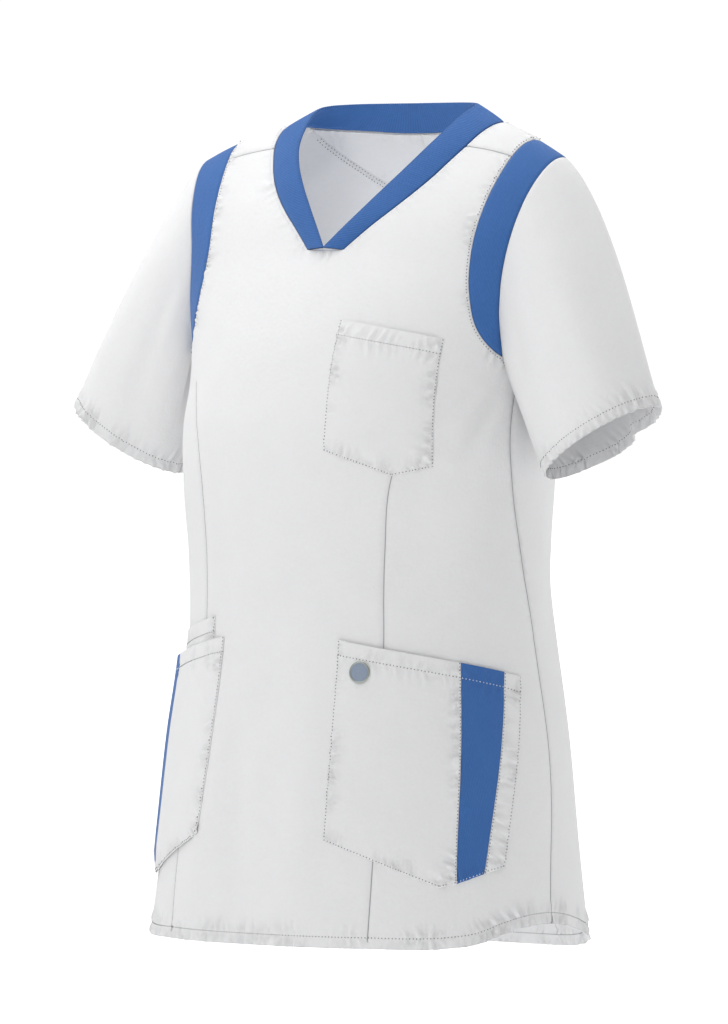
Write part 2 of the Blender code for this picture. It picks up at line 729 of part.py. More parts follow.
def main():
    for old in list(bpy.data.objects):
        bpy.data.objects.remove(old, do_unlink=True)
    white = material("white_twill", WHITE, 0.85)
    blue = material("blue_twill", BLUE, 0.85)
    rib = material("blue_rib", BLUE, 0.9)
    grey = material("badge_grey", GREY, 0.4)
    body_panel("front", False, white)
    body_panel("back", True, white)
    for side, word in ((1, "left"), (-1, "right")):
        shoulder_insert(f"shoulder_insert_{word}", side, blue)
        sleeve(f"sleeve_{word}", side, white)
    neck_band("neck_band", rib)
    back_neck_facing("back_neck_facing", white)
    front_patch("chest_pocket", CHEST_POCKET, CHEST_POCKET_COLUMNS, white)
    front_patch("rear_pocket_right", REAR_POCKET, REAR_POCKET_COLUMNS, white, side=-1)
    raised = 2 * LAYER_GAP + POCKET_WALL
    for side, word, lift in ((1, "left", LAYER_GAP), (-1, "right", raised)):
        front_patch(f"pocket_{word}", POCKET_MAIN, MAIN_COLUMNS, white, side, lift)
        front_patch(f"pocket_stripe_{word}", POCKET_STRIPE, STRIPE_COLUMNS, blue, side, lift)
        front_patch(f"pocket_edge_{word}", POCKET_EDGE, EDGE_COLUMNS, white, side, lift)
    badge("badge", grey)


main()
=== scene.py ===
# %% [markdown]
# # A medical tunic, filled out as worn
# This lesson dresses a fixed frame: the imported solids of a short-sleeved V-neck tunic. Each solid is replaced by
# a fine shell of cloth on the same form, with its folds, puckers, seams and stitches. The first cell loads the
# frame.

import math

import bpy
import numpy as np
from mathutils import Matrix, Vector
from mathutils.geometry import delaunay_2d_cdt


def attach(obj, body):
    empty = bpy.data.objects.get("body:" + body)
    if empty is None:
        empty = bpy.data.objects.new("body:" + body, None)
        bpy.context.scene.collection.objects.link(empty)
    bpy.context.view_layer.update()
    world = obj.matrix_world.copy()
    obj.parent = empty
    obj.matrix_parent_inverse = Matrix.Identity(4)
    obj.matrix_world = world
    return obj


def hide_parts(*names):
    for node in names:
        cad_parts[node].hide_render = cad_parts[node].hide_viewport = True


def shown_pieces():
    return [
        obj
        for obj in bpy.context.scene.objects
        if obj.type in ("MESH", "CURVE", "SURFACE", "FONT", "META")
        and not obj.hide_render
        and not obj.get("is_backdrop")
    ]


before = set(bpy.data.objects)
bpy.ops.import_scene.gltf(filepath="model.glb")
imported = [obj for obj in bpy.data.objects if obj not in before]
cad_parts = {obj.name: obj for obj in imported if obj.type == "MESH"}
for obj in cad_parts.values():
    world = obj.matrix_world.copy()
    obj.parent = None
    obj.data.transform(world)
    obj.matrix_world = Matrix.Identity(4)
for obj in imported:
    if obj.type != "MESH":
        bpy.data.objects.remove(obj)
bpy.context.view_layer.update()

# %% [markdown]
# ## Camera
# The photograph is taken from far away, a little above the middle of the garment and well round to the wearer's
# left. A long lens keeps upright seams upright. The lens is worked out from the size of a pixel at the garment.

# %% Place the camera
VIEW_AZIMUTH = 39.0
VIEW_ELEVATION = 1.4
VIEW_DISTANCE = 8.0
VIEW_CENTRE = Vector((-0.0177, -0.0143, -0.3496))
METRES_PER_PIXEL = 0.000875
IMAGE_HEIGHT = 1024
SENSOR = 36.0


def direction(azimuth, elevation):
    """The way out from the garment's middle at two angles, in degrees: round from the front, and up from level."""
    angle, rise = math.radians(azimuth), math.radians(elevation)
    return Vector((math.sin(angle) * math.cos(rise), -math.cos(angle) * math.cos(rise), math.sin(rise)))


def add_camera():
    data = bpy.data.cameras.new("camera")
    data.sensor_width = SENSOR
    data.lens = SENSOR * VIEW_DISTANCE / (METRES_PER_PIXEL * IMAGE_HEIGHT)
    back = direction(VIEW_AZIMUTH, VIEW_ELEVATION)
    camera = bpy.data.objects.new("camera", data)
    camera.location = VIEW_CENTRE + VIEW_DISTANCE * back
    camera.rotation_euler = (-back).to_track_quat("-Z", "Y").to_euler()
    data.clip_end = 60.0
    bpy.context.scene.collection.objects.link(camera)
    bpy.context.scene.camera = camera
    return camera


camera = add_camera()
print("lens:", round(camera.data.lens, 1), "mm")

# %% [markdown]
# ## The worn form
# A place on the body is given by two angles. The lean goes out from the centre plane. The turn goes over the
# shoulder ridge: zero on the ridge, negative down the front, positive down the back. Short tables hold the
# outline at each height, the ridge, the hem and the seams, and smooth curves run through them. The same sizes
# shaped the frame, so every shell lies where its solid lies.

# %% Sizes of the body
SHOULDER_ROUND = 0.11
UNDERARM_HEIGHT = -0.2326
SECTION_COLUMNS = ("height", "half_width", "front", "side", "back", "squareness")
SECTIONS = (
    (-0.740, 0.2075, -0.192, -0.031, 0.134, 2.10),
    (-0.640, 0.1960, -0.183, -0.029, 0.128, 2.05),
    (-0.550, 0.1885, -0.169, -0.028, 0.122, 2.00),
    (-0.460, 0.1765, -0.155, -0.028, 0.114, 2.00),
    (-0.390, 0.1750, -0.153, -0.034, 0.105, 2.00),
    (-0.320, 0.1790, -0.152, -0.035, 0.100, 2.10),
    (-0.270, 0.1805, -0.147, -0.028, 0.098, 2.15),
    (-0.235, 0.1830, -0.139, -0.020, 0.096, 2.10),
    (-0.200, 0.1905, -0.128, -0.014, 0.093, 2.05),
    (-0.160, 0.2050, -0.110, -0.016, 0.089, 2.00),
    (-0.120, 0.2160, -0.090, -0.022, 0.083, 2.00),
    (-0.080, 0.2300, -0.074, -0.036, 0.075, 2.00),
    (-0.040, 0.2420, -0.059, -0.046, 0.067, 2.00),
    (0.0200, 0.2500, -0.050, -0.047, 0.057, 2.00),
)
RIDGE_COLUMNS = ("out", "along", "height")
RIDGE = (
    (0.000, 0.020, 0.0020),
    (0.060, 0.018, 0.0000),
    (0.118, 0.012, -0.0100),
    (0.168, -0.004, -0.0267),
    (0.204, -0.009, -0.0433),
    (0.250, -0.012, -0.0680),
)
HEM_COLUMNS = ("angle", "height")
HEM = (
    (0, -0.7180),
    (30, -0.7182),
    (53, -0.7178),
    (62, -0.7147),
    (71, -0.7065),
    (80, -0.7010),
    (90, -0.6998),
    (98, -0.7028),
    (105, -0.7072),
    (112, -0.7117),
    (119, -0.7162),
    (128, -0.7215),
    (137, -0.7268),
    (148, -0.7303),
    (163, -0.7322),
    (180, -0.7328),
)
SIDE_COLUMNS = ("height", "angle")
SIDE_SEAM = (
    (-0.730, 89.0),
    (-0.698, 89.8),
    (-0.658, 91.5),
    (-0.604, 94.3),
    (-0.5575, 95.2),
    (-0.513, 94.8),
    (-0.445, 92.5),
    (-0.384, 88.6),
    (-0.331, 83.1),
    (-0.290, 79.8),
    (-0.2326, 77.2),
)
DART_COLUMNS = ("height", "front", "back")
DART_TOPS = {"front": -0.237, "back": -0.280}
DART_LOWS = {"front": -0.7185, "back": -0.7285}
DARTS = (
    (-0.730, 31.0, 27.0),
    (-0.650, 33.0, 27.5),
    (-0.550, 34.0, 28.0),
    (-0.460, 34.4, 28.5),
    (-0.380, 34.6, 28.5),
    (-0.320, 35.2, 28.0),
    (-0.290, 37.6, 28.0),
    (-0.260, 42.0, 28.0),
    (-0.2326, 47.0, 28.0),
)
print("sections:", len(SECTIONS), "hem rows:", len(HEM), "dart rows:", len(DARTS))

# %% Sizes of the seams
ARMHOLE_COLUMNS = ("panel_lean", "panel_turn", "sleeve_lean", "sleeve_turn")
ARMHOLE = (
    (77.2, -137.5, 77.2, -137.5),
    (74.9, -135.5, 74.9, -135.5),
    (70.9, -132.0, 70.9, -132.0),
    (67.8, -128.6, 67.8, -128.6),
    (63.2, -126.6, 65.6, -122.9),
    (57.6, -122.6, 63.0, -116.5),
    (52.5, -116.6, 60.3, -109.5),
    (48.6, -108.6, 58.2, -102.0),
    (45.4, -99.0, 56.6, -94.0),
    (43.2, -87.5, 55.5, -84.5),
    (41.8, -75.0, 54.6, -73.5),
    (41.0, -60.0, 54.0, -60.0),
    (40.8, -46.0, 53.8, -46.5),
    (41.0, -32.0, 54.1, -32.0),
    (41.6, -16.0, 54.7, -16.0),
    (42.3, 0.0, 55.3, 0.0),
    (42.7, 16.0, 55.6, 16.0),
    (42.6, 32.0, 55.5, 32.0),
    (42.3, 46.0, 55.5, 46.5),
    (42.4, 60.0, 55.7, 60.0),
    (43.1, 75.0, 56.2, 73.5),
    (44.6, 87.5, 57.2, 84.5),
    (46.8, 99.0, 58.6, 94.0),
    (49.9, 108.6, 60.4, 102.0),
    (54.0, 116.6, 63.0, 109.5),
    (59.3, 122.6, 66.2, 116.5),
    (65.6, 126.6, 69.6, 122.6),
    (72.8, 129.0, 72.8, 129.0),
    (80.5, 132.2, 80.5, 132.2),
    (88.5, 135.0, 88.5, 135.0),
    (96.0, 136.8, 96.0, 136.8),
    (102.8, 137.5, 102.8, 137.5),
)
FRONT_TIP = 3
SHOULDER_SEAM = 13
RIDGE_STATION = 15
BACK_TIP = 27
LAST_STATION = len(ARMHOLE) - 1
NECKLINE_COLUMNS = ("lean", "turn")
NECKLINE = (
    (0.0, -96.2),
    (5.4, -96.2),
    (10.5, -86.6),
    (15.0, -78.0),
    (18.9, -69.0),
    (22.0, -59.5),
    (24.3, -49.0),
    (26.2, -38.0),
    (27.4, -26.0),
    (28.2, -13.0),
    (28.2, 0.0),
    (26.9, 11.0),
    (24.0, 19.0),
    (19.5, 25.5),
    (13.5, 30.5),
    (7.0, 33.5),
    (0.0, 34.6),
)
V_CORNER = 1
NECK_POINT = 7
BACK_CENTRE = len(NECKLINE) - 1
BAND_COLUMNS = ("out", "along", "height")
BAND_EDGE = (
    (0.0003, -0.0932, -0.1185),
    (0.0165, -0.0832, -0.0995),
    (0.0325, -0.0732, -0.0815),
    (0.0475, -0.0632, -0.0645),
    (0.0600, -0.0532, -0.0495),
    (0.0700, -0.0425, -0.0355),
    (0.0765, -0.0315, -0.0240),
    (0.0812, -0.0190, -0.0130),
    (0.0850, -0.0055, -0.0030),
    (0.0868, 0.0080, 0.0040),
    (0.0830, 0.0185, 0.0066),
    (0.0725, 0.0270, 0.0076),
    (0.0570, 0.0330, 0.0080),
    (0.0390, 0.0365, 0.0080),
    (0.0200, 0.0383, 0.0079),
    (0.0000, 0.0390, 0.0078),
)
SLEEVE_START_COLUMNS = ("share", "out", "away", "down")
SLEEVE_START = (
    (0.00, 0.010, 0.000, 0.085),
    (0.30, 0.050, 0.030, 0.085),
    (0.65, 0.100, 0.040, 0.110),
    (1.00, 0.165, 0.000, 0.125),
)
SLEEVE_HEM_CENTRE = (0.265, -0.037, -0.2855)
SLEEVE_HEM_TILT = math.radians(30)
SLEEVE_HEM_ACROSS = 0.0640
SLEEVE_HEM_DEEP = 0.0435
SLEEVE_HEM_PULL = 0.10
SLEEVE_BACK_DENT = 0.10
SLEEVE_DENT_PLACE = 0.72
SLEEVE_DENT_WIDTH = 0.16
print("armhole stations:", len(ARMHOLE), "neck stations:", len(NECKLINE))

# %% Sizes of the sewn-on pieces, as leans and heights along their top and bottom edges
CHEST_POCKET = (
    ((11.6, -0.1812), (44.9, -0.1974)),
    ((13.0, -0.2937), (35.4, -0.3146), (49.3, -0.3072)),
)
POCKET_MAIN = (
    ((20.2, -0.4558), (34.8, -0.4630), (59.0, -0.4747)),
    ((19.3, -0.6272), (51.6, -0.6660), (56.5, -0.6630)),
)
POCKET_STRIPE = (
    ((59.5, -0.4749), (75.6, -0.4831)),
    ((57.0, -0.6627), (65.2, -0.6548)),
)
POCKET_EDGE = (
    ((76.1, -0.4833), (83.6, -0.4879)),
    ((65.7, -0.6544), (72.7, -0.6493)),
)
REAR_POCKET = (
    ((28.2, -0.4390), (80.0, -0.4660)),
    ((26.0, -0.6260), (52.0, -0.6540), (68.0, -0.6420)),
)
FACING_COLUMNS = ("lean", "turn")
FACING = (
    (24.6, 29.0),
    (23.9, 34.0),
    (22.0, 41.5),
    (18.5, 52.0),
    (13.5, 62.5),
    (7.2, 69.5),
    (0.0, 72.0),
)
BADGE_PLACE = (27.5, -0.4835)
BADGE_HALF_WIDTH = 0.0085
BADGE_HALF_HEIGHT = 0.0095
print("chest pocket's top corners:", CHEST_POCKET[0])


# %% Curves through tables
def column(rows, names, name):
    return np.array([row[names.index(name)] for row in rows], dtype=float)


def smooth(knots, values, at):
    """A curve through the values, whose slope at each knot comes from its neighbours."""
    slopes = np.gradient(values, knots)
    at = np.clip(at, knots[0], knots[-1])
    first = np.clip(np.searchsorted(knots, at, side="right") - 1, 0, len(knots) - 2)
    width = knots[first + 1] - knots[first]
    t = (at - knots[first]) / width
    rise = values[first + 1] - values[first]
    bend_in = slopes[first] * width - rise
    bend_out = rise - slopes[first + 1] * width
    return values[first] + t * rise + t * (1 - t) * (bend_in * (1 - t) + bend_out * t)


def from_table(rows, names, name, at):
    return smooth(column(rows, names, names[0]), column(rows, names, name), at)


def unit(vectors):
    return vectors / np.maximum(np.linalg.norm(vectors, axis=-1, keepdims=True), 1e-12)


def along_stations(rows, names, wanted, corners, at):
    """Values at fractional station numbers: smooth between the corners, and sharp at them."""
    at = np.atleast_1d(np.asarray(at, dtype=float))
    values = np.stack([column(rows, names, name) for name in wanted], axis=-1)
    count = np.arange(len(rows), dtype=float)
    result = np.zeros((len(at), len(wanted)))
    for first, last in zip(corners[:-1], corners[1:]):
        here = (at >= first) & (at <= last)
        for axis in range(len(wanted)):
            result[here, axis] = smooth(count[first : last + 1], values[first : last + 1, axis], at[here])
    return result


print("ridge height at the sleeve:", round(float(from_table(RIDGE, RIDGE_COLUMNS, "height", 0.2)), 4))


# %% The body's surface
FIRST_OUT = 0.2
SETTLING_STEPS = 12


def section(angle, height):
    """The outline at a height, as X and Y, at an angle round from centre front."""
    half, front, side, back, power = (
        from_table(SECTIONS, SECTION_COLUMNS, name, height) for name in SECTION_COLUMNS[1:]
    )
    across = np.sign(np.sin(angle)) * np.abs(np.sin(angle)) ** (2 / power)
    away = np.abs(np.cos(angle)) ** (2 / power)
    reach = np.where(np.cos(angle) > 0, front, back) - side
    return half * across, side + reach * away


def ridge(out):
    out = np.abs(out)
    return from_table(RIDGE, RIDGE_COLUMNS, "along", out), from_table(RIDGE, RIDGE_COLUMNS, "height", out)


def body_point(place):
    """The places on the body's surface at rows of lean and turn, in radians."""
    lean, turn = place[..., 0], place[..., 1]
    steep = np.abs(turn)
    fall = np.where(steep < math.pi / 2, 1 - np.cos(steep), 1 + steep - math.pi / 2)
    angle = np.where(turn < 0, lean, math.pi - lean)
    out = FIRST_OUT * np.sin(lean)
    for _ in range(SETTLING_STEPS):
        height = ridge(out)[1] - SHOULDER_ROUND * fall
        out, along = section(angle, height)
    away = np.sin(np.minimum(steep, math.pi / 2))
    top = ridge(out)[0]
    return np.stack([out, top + (along - top) * away, height], axis=-1)


def turn_at(lean, height, back=False):
    """The turn at which a lean reaches a height, on the back or on the front."""
    out = section(math.pi - lean if back else lean, height)[0]
    fall = np.maximum(ridge(out)[1] - height, 0) / SHOULDER_ROUND
    steep = np.where(fall < 1, np.arccos(np.clip(1 - fall, -1, 1)), fall - 1 + math.pi / 2)
    return steep if back else -steep


def body_way(place, step=1e-4):
    """The outward direction of the body's surface."""
    lean = np.array([step, 0.0])
    turn = np.array([0.0, step])
    by_lean = body_point(place + lean) - body_point(place - lean)
    by_turn = body_point(place + turn) - body_point(place - turn)
    return unit(np.cross(by_lean, by_turn))


def side_lean(height, back):
    angle = np.radians(from_table(SIDE_SEAM, SIDE_COLUMNS, "angle", height))
    return math.pi - angle if back else angle


def hem_height(lean, back):
    angle = np.degrees(math.pi - lean if back else lean)
    return from_table(HEM, HEM_COLUMNS, "height", angle)


underarm_half_width = float(section(np.array(math.pi / 2), UNDERARM_HEIGHT)[0])
print("half width at the underarm:", round(underarm_half_width, 3), "m")


# %% Seam curves
def armhole_edge(names, at):
    corners = (0, FRONT_TIP, BACK_TIP, LAST_STATION)
    return np.radians(along_stations(ARMHOLE, ARMHOLE_COLUMNS, names, corners, at))


def panel_edge(at):
    return armhole_edge(("panel_lean", "panel_turn"), at)


def sleeve_edge(at):
    return armhole_edge(("sleeve_lean", "sleeve_turn"), at)


def neck_edge(at):
    corners = (0, V_CORNER, BACK_CENTRE)
    return np.radians(along_stations(NECKLINE, NECKLINE_COLUMNS, NECKLINE_COLUMNS, corners, at))


def shoulder_seam(at):
    """From the armhole, at zero, to the neck, at one."""
    start, end = panel_edge(SHOULDER_SEAM)[0], neck_edge(NECK_POINT)[0]
    return start + (end - start) * np.asarray(at, dtype=float)[:, None]


def side_seam(at, back):
    """From the hem, at zero, to the underarm, at one."""
    edge = float(side_lean(UNDERARM_HEIGHT, back))
    for _ in range(4):
        low = float(hem_height(edge, back))
        edge = float(side_lean(low, back))
    height = low + (UNDERARM_HEIGHT - low) * np.asarray(at, dtype=float)
    lean = side_lean(height, back)
    line = np.stack([lean, turn_at(lean, height, back)], axis=-1)
    corner = panel_edge(LAST_STATION if back else 0)[0]
    line += (corner - line[-1]) * np.asarray(at, dtype=float)[:, None] if at[-1] == 1 else 0
    return line


def hem_line(at, back, rise=0.0):
    """From the centre, at zero, to the side seam, at one, a little above the edge if asked."""
    edge = side_seam(np.array([0.0, 1.0]), back)[0, 0]
    lean = edge * np.asarray(at, dtype=float)
    return np.stack([lean, turn_at(lean, hem_height(lean, back) + rise, back)], axis=-1)


def dart_line(at, back):
    """From the hem, at zero, to the dart's top, at one."""
    name = "back" if back else "front"
    low, top = DART_LOWS[name], DART_TOPS[name]
    height = low + (top - low) * np.asarray(at, dtype=float)
    lean = np.radians(from_table(DARTS, DART_COLUMNS, name, height))
    return np.stack([lean, turn_at(lean, height, back)], axis=-1)


def evenly(curve, start, stop, step):
    """Rows of lean and turn along a curve, evenly spaced on the body."""
    at = np.linspace(start, stop, 600)
    rows = curve(at)
    way = np.concatenate([[0], np.cumsum(np.linalg.norm(np.diff(body_point(rows), axis=0), axis=1))])
    even = np.linspace(0, way[-1], max(2, int(round(way[-1] / step)) + 1))
    return np.stack([np.interp(even, way, rows[:, axis]) for axis in (0, 1)], axis=-1)


shoulder_ends = body_point(shoulder_seam(np.array([0.0, 1.0])))
print("shoulder seam:", round(float(np.linalg.norm(shoulder_ends[1] - shoulder_ends[0])), 3), "m")

# %% [markdown]
# ## Folds, seams and puckers
# Worn cloth is never a clean tube. Three things shape it here. Long soft folds are troughs and ridges listed in
# a table: a row gives each its two ends, its width and its depth. A seam is a narrow groove, because the
# cloth dips where the thread pulls it. Next to a seam the cloth puckers: short irregular ripples run away from
# the stitches and fade. All three are heights added along the surface's outward direction, so one function can
# serve every piece, and a pocket follows the fold of the front beneath it.

# %% Noise and nearness
NOISE_VALUES = 4096
BATCH = 3000


def noise(at, step, seed):
    """Smooth random values from 0 to 1 along a line, about one hill for each step."""
    table = np.random.default_rng(seed).random(NOISE_VALUES)
    where = np.asarray(at) / step
    low = np.floor(where).astype(int)
    t = where - low
    t = t * t * (3 - 2 * t)
    return table[low % NOISE_VALUES] * (1 - t) + table[(low + 1) % NOISE_VALUES] * t


def near_line(points, line, reach):
    """For the points within reach of a line: which they are, how far they are, and how far along it they lie."""
    low, high = line.min(axis=0) - reach, line.max(axis=0) + reach
    close = np.nonzero(np.all((points > low) & (points < high), axis=1))[0]
    start, step = line[:-1], np.diff(line, axis=0)
    length = np.linalg.norm(step, axis=1)
    before = np.concatenate([[0], np.cumsum(length)])[:-1]
    distance, along = np.full(len(close), 9.0), np.zeros(len(close))
    for first in range(0, len(close), BATCH):
        some = points[close[first : first + BATCH]]
        to_mid = some[:, None] - (start + step / 2)[None]
        best = np.argsort(np.einsum("ijk,ijk->ij", to_mid, to_mid), axis=1)[:, :2]
        for pick in best.T:
            t = np.einsum("ij,ij->i", some - start[pick], step[pick]) / np.maximum(length[pick] ** 2, 1e-12)
            t = np.clip(t, 0, 1)
            gap = np.linalg.norm(some - start[pick] - step[pick] * t[:, None], axis=1)
            here = slice(first, first + len(some))
            better = gap < distance[here]
            distance[here] = np.where(better, gap, distance[here])
            along[here] = np.where(better, before[pick] + length[pick] * t, along[here])
    inside = distance < reach
    return close[inside], distance[inside], along[inside]


print("noise values in a table:", NOISE_VALUES)


# %% Grooves and puckers
def groove(distance, width):
    return np.exp(-((distance / width) ** 2))


def puckers(distance, along, seed, pitch=0.0085, reach=0.010):
    """Ripples across a sewn line: uneven in strength, length and spacing, leaning a little, with narrow crests."""
    strength = np.clip(1.6 * noise(along, 0.017, seed) - 0.18, 0.05, 1)
    length = reach * (0.40 + 0.9 * noise(along, 0.007, seed + 1))
    lean = 1.1 * (noise(along, 0.03, seed + 2) - 0.5)
    phase = (along + lean * distance) / pitch + 1.5 * noise(along, 0.016, seed + 3)
    wave = np.cos(2 * math.pi * phase) + 0.5 * np.cos(4 * math.pi * phase)
    return strength * wave * np.exp(-((distance / length) ** 2))


print("groove at one width:", round(float(groove(1.0, 1.0)), 3))

# %% The folds of the body, front and back
FOLD_COLUMNS = ("angle_from", "height_from", "angle_to", "height_to", "width", "depth")
FOLDS = (
    (-6, -0.400, 2, -0.700, 0.026, -0.0030),
    (14, -0.470, 12, -0.715, 0.020, 0.0026),
    (-14, -0.495, -4, -0.718, 0.017, -0.0044),
    (-144, -0.062, -163, -0.022, 0.011, -0.0028),
    (-163, -0.022, -174, -0.060, 0.011, 0.0028),
    (-30, -0.300, -14, -0.480, 0.024, -0.0022),
    (54, -0.300, 38, -0.430, 0.030, -0.0050),
    (63, -0.236, 52, -0.262, 0.0055, -0.0013),
    (68, -0.244, 55, -0.276, 0.0050, 0.0012),
    (71, -0.250, 60, -0.290, 0.0055, -0.0013),
    (74, -0.262, 66, -0.300, 0.0060, 0.0012),
    (62, -0.250, 46, -0.330, 0.016, 0.0018),
    (70, -0.245, 60, -0.300, 0.009, -0.0016),
    (-62, -0.250, -44, -0.340, 0.016, 0.0018),
    (-72, -0.246, -58, -0.310, 0.010, -0.0017),
    (80, -0.360, 74, -0.520, 0.018, -0.0020),
    (104, -0.300, 96, -0.460, 0.022, 0.0024),
    (-84, -0.330, -92, -0.480, 0.020, -0.0022),
    (-108, -0.300, -98, -0.440, 0.020, 0.0022),
    (118, -0.380, 140, -0.520, 0.024, -0.0028),
    (-122, -0.360, -146, -0.500, 0.024, -0.0026),
    (168, -0.330, 158, -0.640, 0.026, 0.0026),
    (-160, -0.420, -166, -0.700, 0.026, -0.0028),
    (150, -0.560, 146, -0.720, 0.020, -0.0024),
    (-20, -0.560, -24, -0.715, 0.022, 0.0024),
    (176, -0.120, 160, -0.230, 0.022, 0.0016),
    (-150, -0.130, -160, -0.260, 0.022, -0.0016),
)


def fold_lines():
    lines = []
    for row in FOLDS:
        fold = dict(zip(FOLD_COLUMNS, row))
        t = np.linspace(0, 1, 25)
        angle = np.radians(fold["angle_from"] + (fold["angle_to"] - fold["angle_from"]) * t)
        height = fold["height_from"] + (fold["height_to"] - fold["height_from"]) * t
        x, y = section(angle, height)
        lines.append((np.stack([x, y, height], axis=-1), fold["width"], fold["depth"]))
    return lines


FOLD_LINES = fold_lines()


FOLD_REACH = 2.6


def fold_push(points, line, width, depth, runs_out=False):
    """The points that one fold reaches and how far it pushes them. One that runs out stays deep at its end."""
    close, distance, along = near_line(points, line, FOLD_REACH * width)
    total = np.linalg.norm(np.diff(line, axis=0), axis=1).sum()
    share = np.clip(along / total, 0.02, 0.98)
    ends = np.sin(math.pi * share * (0.5 if runs_out else 1)) ** 0.7
    return close, depth * ends * groove(distance, width)


def body_folds(points):
    """How far the soft folds push the cloth out at points on the body."""
    push = np.zeros(len(points))
    for line, width, depth in FOLD_LINES:
        close, height = fold_push(points, line, width, depth)
        push[close] += height
    return push


print("folds:", len(FOLDS))

# %% [markdown]
# ## A cloth piece from its outline
# A panel's outline is made of seam curves. The inside is filled with evenly spaced points, with extra rows close
# to each seam, where the cloth bends most. A constrained Delaunay triangulation joins them, which never folds
# over however the outline turns. It works in two flat coordinates, lean and turn times a length, which are also
# the piece's UV map: a weave drawn on them keeps its size.

# %% Flat coordinates
FLAT = np.array([0.19, SHOULDER_ROUND])
EDGE_STEP = 0.0022
SEWN_STEP = 0.0018
FILL_STEP = 0.0042
ROW_OFFSETS = (0.0008, 0.0018, 0.0033, 0.0050, 0.0068, 0.0088)
PLAIN_ROWS = 2
CLOSE_ROWS = 0.003
ROW_GAP = 0.0016
CLOSE_GAP_SHARE = 0.72
FILL_GAP_SHARE = 0.74
CELL = 0.004


def inside(points, outline):
    """Which flat points lie inside a closed outline."""
    result = np.zeros(len(points), dtype=bool)
    for one, two in zip(outline, np.roll(outline, -1, axis=0)):
        if one[1] == two[1]:
            continue
        crosses = (one[1] > points[:, 1]) != (two[1] > points[:, 1])
        at = one[0] + (points[:, 1] - one[1]) * (two[0] - one[0]) / (two[1] - one[1])
        result ^= crosses & (points[:, 0] < at)
    return result


def beside(line, offset):
    """Flat points at a distance to both sides of a flat line."""
    way = unit(np.gradient(line, axis=0))
    out = np.stack([-way[:, 1], way[:, 0]], axis=-1)
    return np.concatenate([line + offset * out, line - offset * out])


def spaced(points, gaps):
    """Keep each point that is at least its gap from those kept before it."""
    cells = {}
    kept = []
    for index, ((x, y), gap) in enumerate(zip(points.tolist(), gaps.tolist())):
        cell = (int(x // CELL), int(y // CELL))
        free = True
        for near_x in (-1, 0, 1):
            for near_y in (-1, 0, 1):
                for other_x, other_y in cells.get((cell[0] + near_x, cell[1] + near_y), ()):
                    if (other_x - x) ** 2 + (other_y - y) ** 2 < gap * gap:
                        free = False
        if free:
            cells.setdefault(cell, []).append((x, y))
            kept.append(index)
    return np.array(kept, dtype=int)


def fill_outline(edges, inner_lines=(), plain=()):
    """Triangulate the area inside edges, given as rows of lean and turn. Lines listed as plain get few rows."""
    flat_edges = [edge * FLAT for edge in edges]
    outline = np.concatenate([edge[:-1] for edge in flat_edges])
    inner = [line * FLAT for line in inner_lines]
    fixed = np.concatenate([outline, *inner]) if inner else outline
    candidates, gaps = [fixed], [np.zeros(len(fixed))]
    for count, offset in enumerate(ROW_OFFSETS):
        for order, line in enumerate(flat_edges + inner):
            if order in plain and count >= PLAIN_ROWS:
                continue
            row = beside(line, offset)
            candidates.append(row)
            gaps.append(np.full(len(row), CLOSE_GAP_SHARE * offset if offset < CLOSE_ROWS else ROW_GAP))
    low, high = outline.min(axis=0), outline.max(axis=0)
    row_step = FILL_STEP * 0.866
    x, y = np.meshgrid(np.arange(low[0], high[0], FILL_STEP), np.arange(low[1], high[1], row_step))
    x = x + (np.arange(x.shape[0]) % 2)[:, None] * FILL_STEP / 2
    grid = np.stack([x.ravel(), y.ravel()], axis=-1)
    candidates.append(grid)
    gaps.append(np.full(len(grid), FILL_GAP_SHARE * FILL_STEP))
    points, gaps = np.concatenate(candidates), np.concatenate(gaps)
    keep = inside(points, outline)
    keep[: len(fixed)] = True
    source = np.nonzero(keep)[0]
    source = source[spaced(points[source], gaps[source])]
    chosen = points[source]
    ties, start = [], len(outline)
    for line in inner:
        ties += [(start + k, start + k + 1) for k in range(len(line) - 1)]
        start += len(line)
    verts, _, faces, *_ = delaunay_2d_cdt(
        [Vector(p) for p in chosen.tolist()], ties, [list(range(len(outline)))], 1, 1e-7
    )
    return np.array([tuple(v) for v in verts]) / FLAT, np.array([f for f in faces if len(f) == 3])


def with_mirror(places, faces):
    """A left half joined with its mirror image across the centre. Marks the mirrored places with a side of -1."""
    middle = np.abs(places[:, 0]) < 2e-6
    places = places.copy()
    places[middle, 0] = 0.0
    twin = np.arange(len(places))
    twin[~middle] = len(places) + np.arange(np.count_nonzero(~middle))
    side = np.concatenate([np.ones(len(places)), -np.ones(np.count_nonzero(~middle))])
    return np.concatenate([places, places[~middle]]), np.concatenate([faces, twin[faces][:, ::-1]]), side


print("fill step:", FILL_STEP * 1000, "mm, rows beside a seam:", len(ROW_OFFSETS))


# %% Areas and outward directions
def across_faces(points, faces):
    """A direction across each triangle, as long as twice its area."""
    one, two, three = (points[faces[:, corner]] for corner in range(3))
    return np.cross(two - one, three - one)


def area_text(points, faces):
    area = 0.5 * np.linalg.norm(across_faces(points, faces), axis=1).sum()
    return f"triangles: {2 * len(faces)} area: {area:.4f} m2"


def surface_ways(points, faces):
    """The outward direction at each point, from the triangles round it."""
    across = across_faces(points, faces)
    ways = np.zeros_like(points)
    for corner in range(3):
        np.add.at(ways, faces[:, corner], across)
    return unit(ways)


def oriented(points, faces, ways):
    """The faces, each turned so that it faces out."""
    outward = np.einsum("ij,ij->i", across_faces(points, faces), ways[faces[:, 0]])
    return np.where((outward < 0)[:, None], faces[:, ::-1], faces)


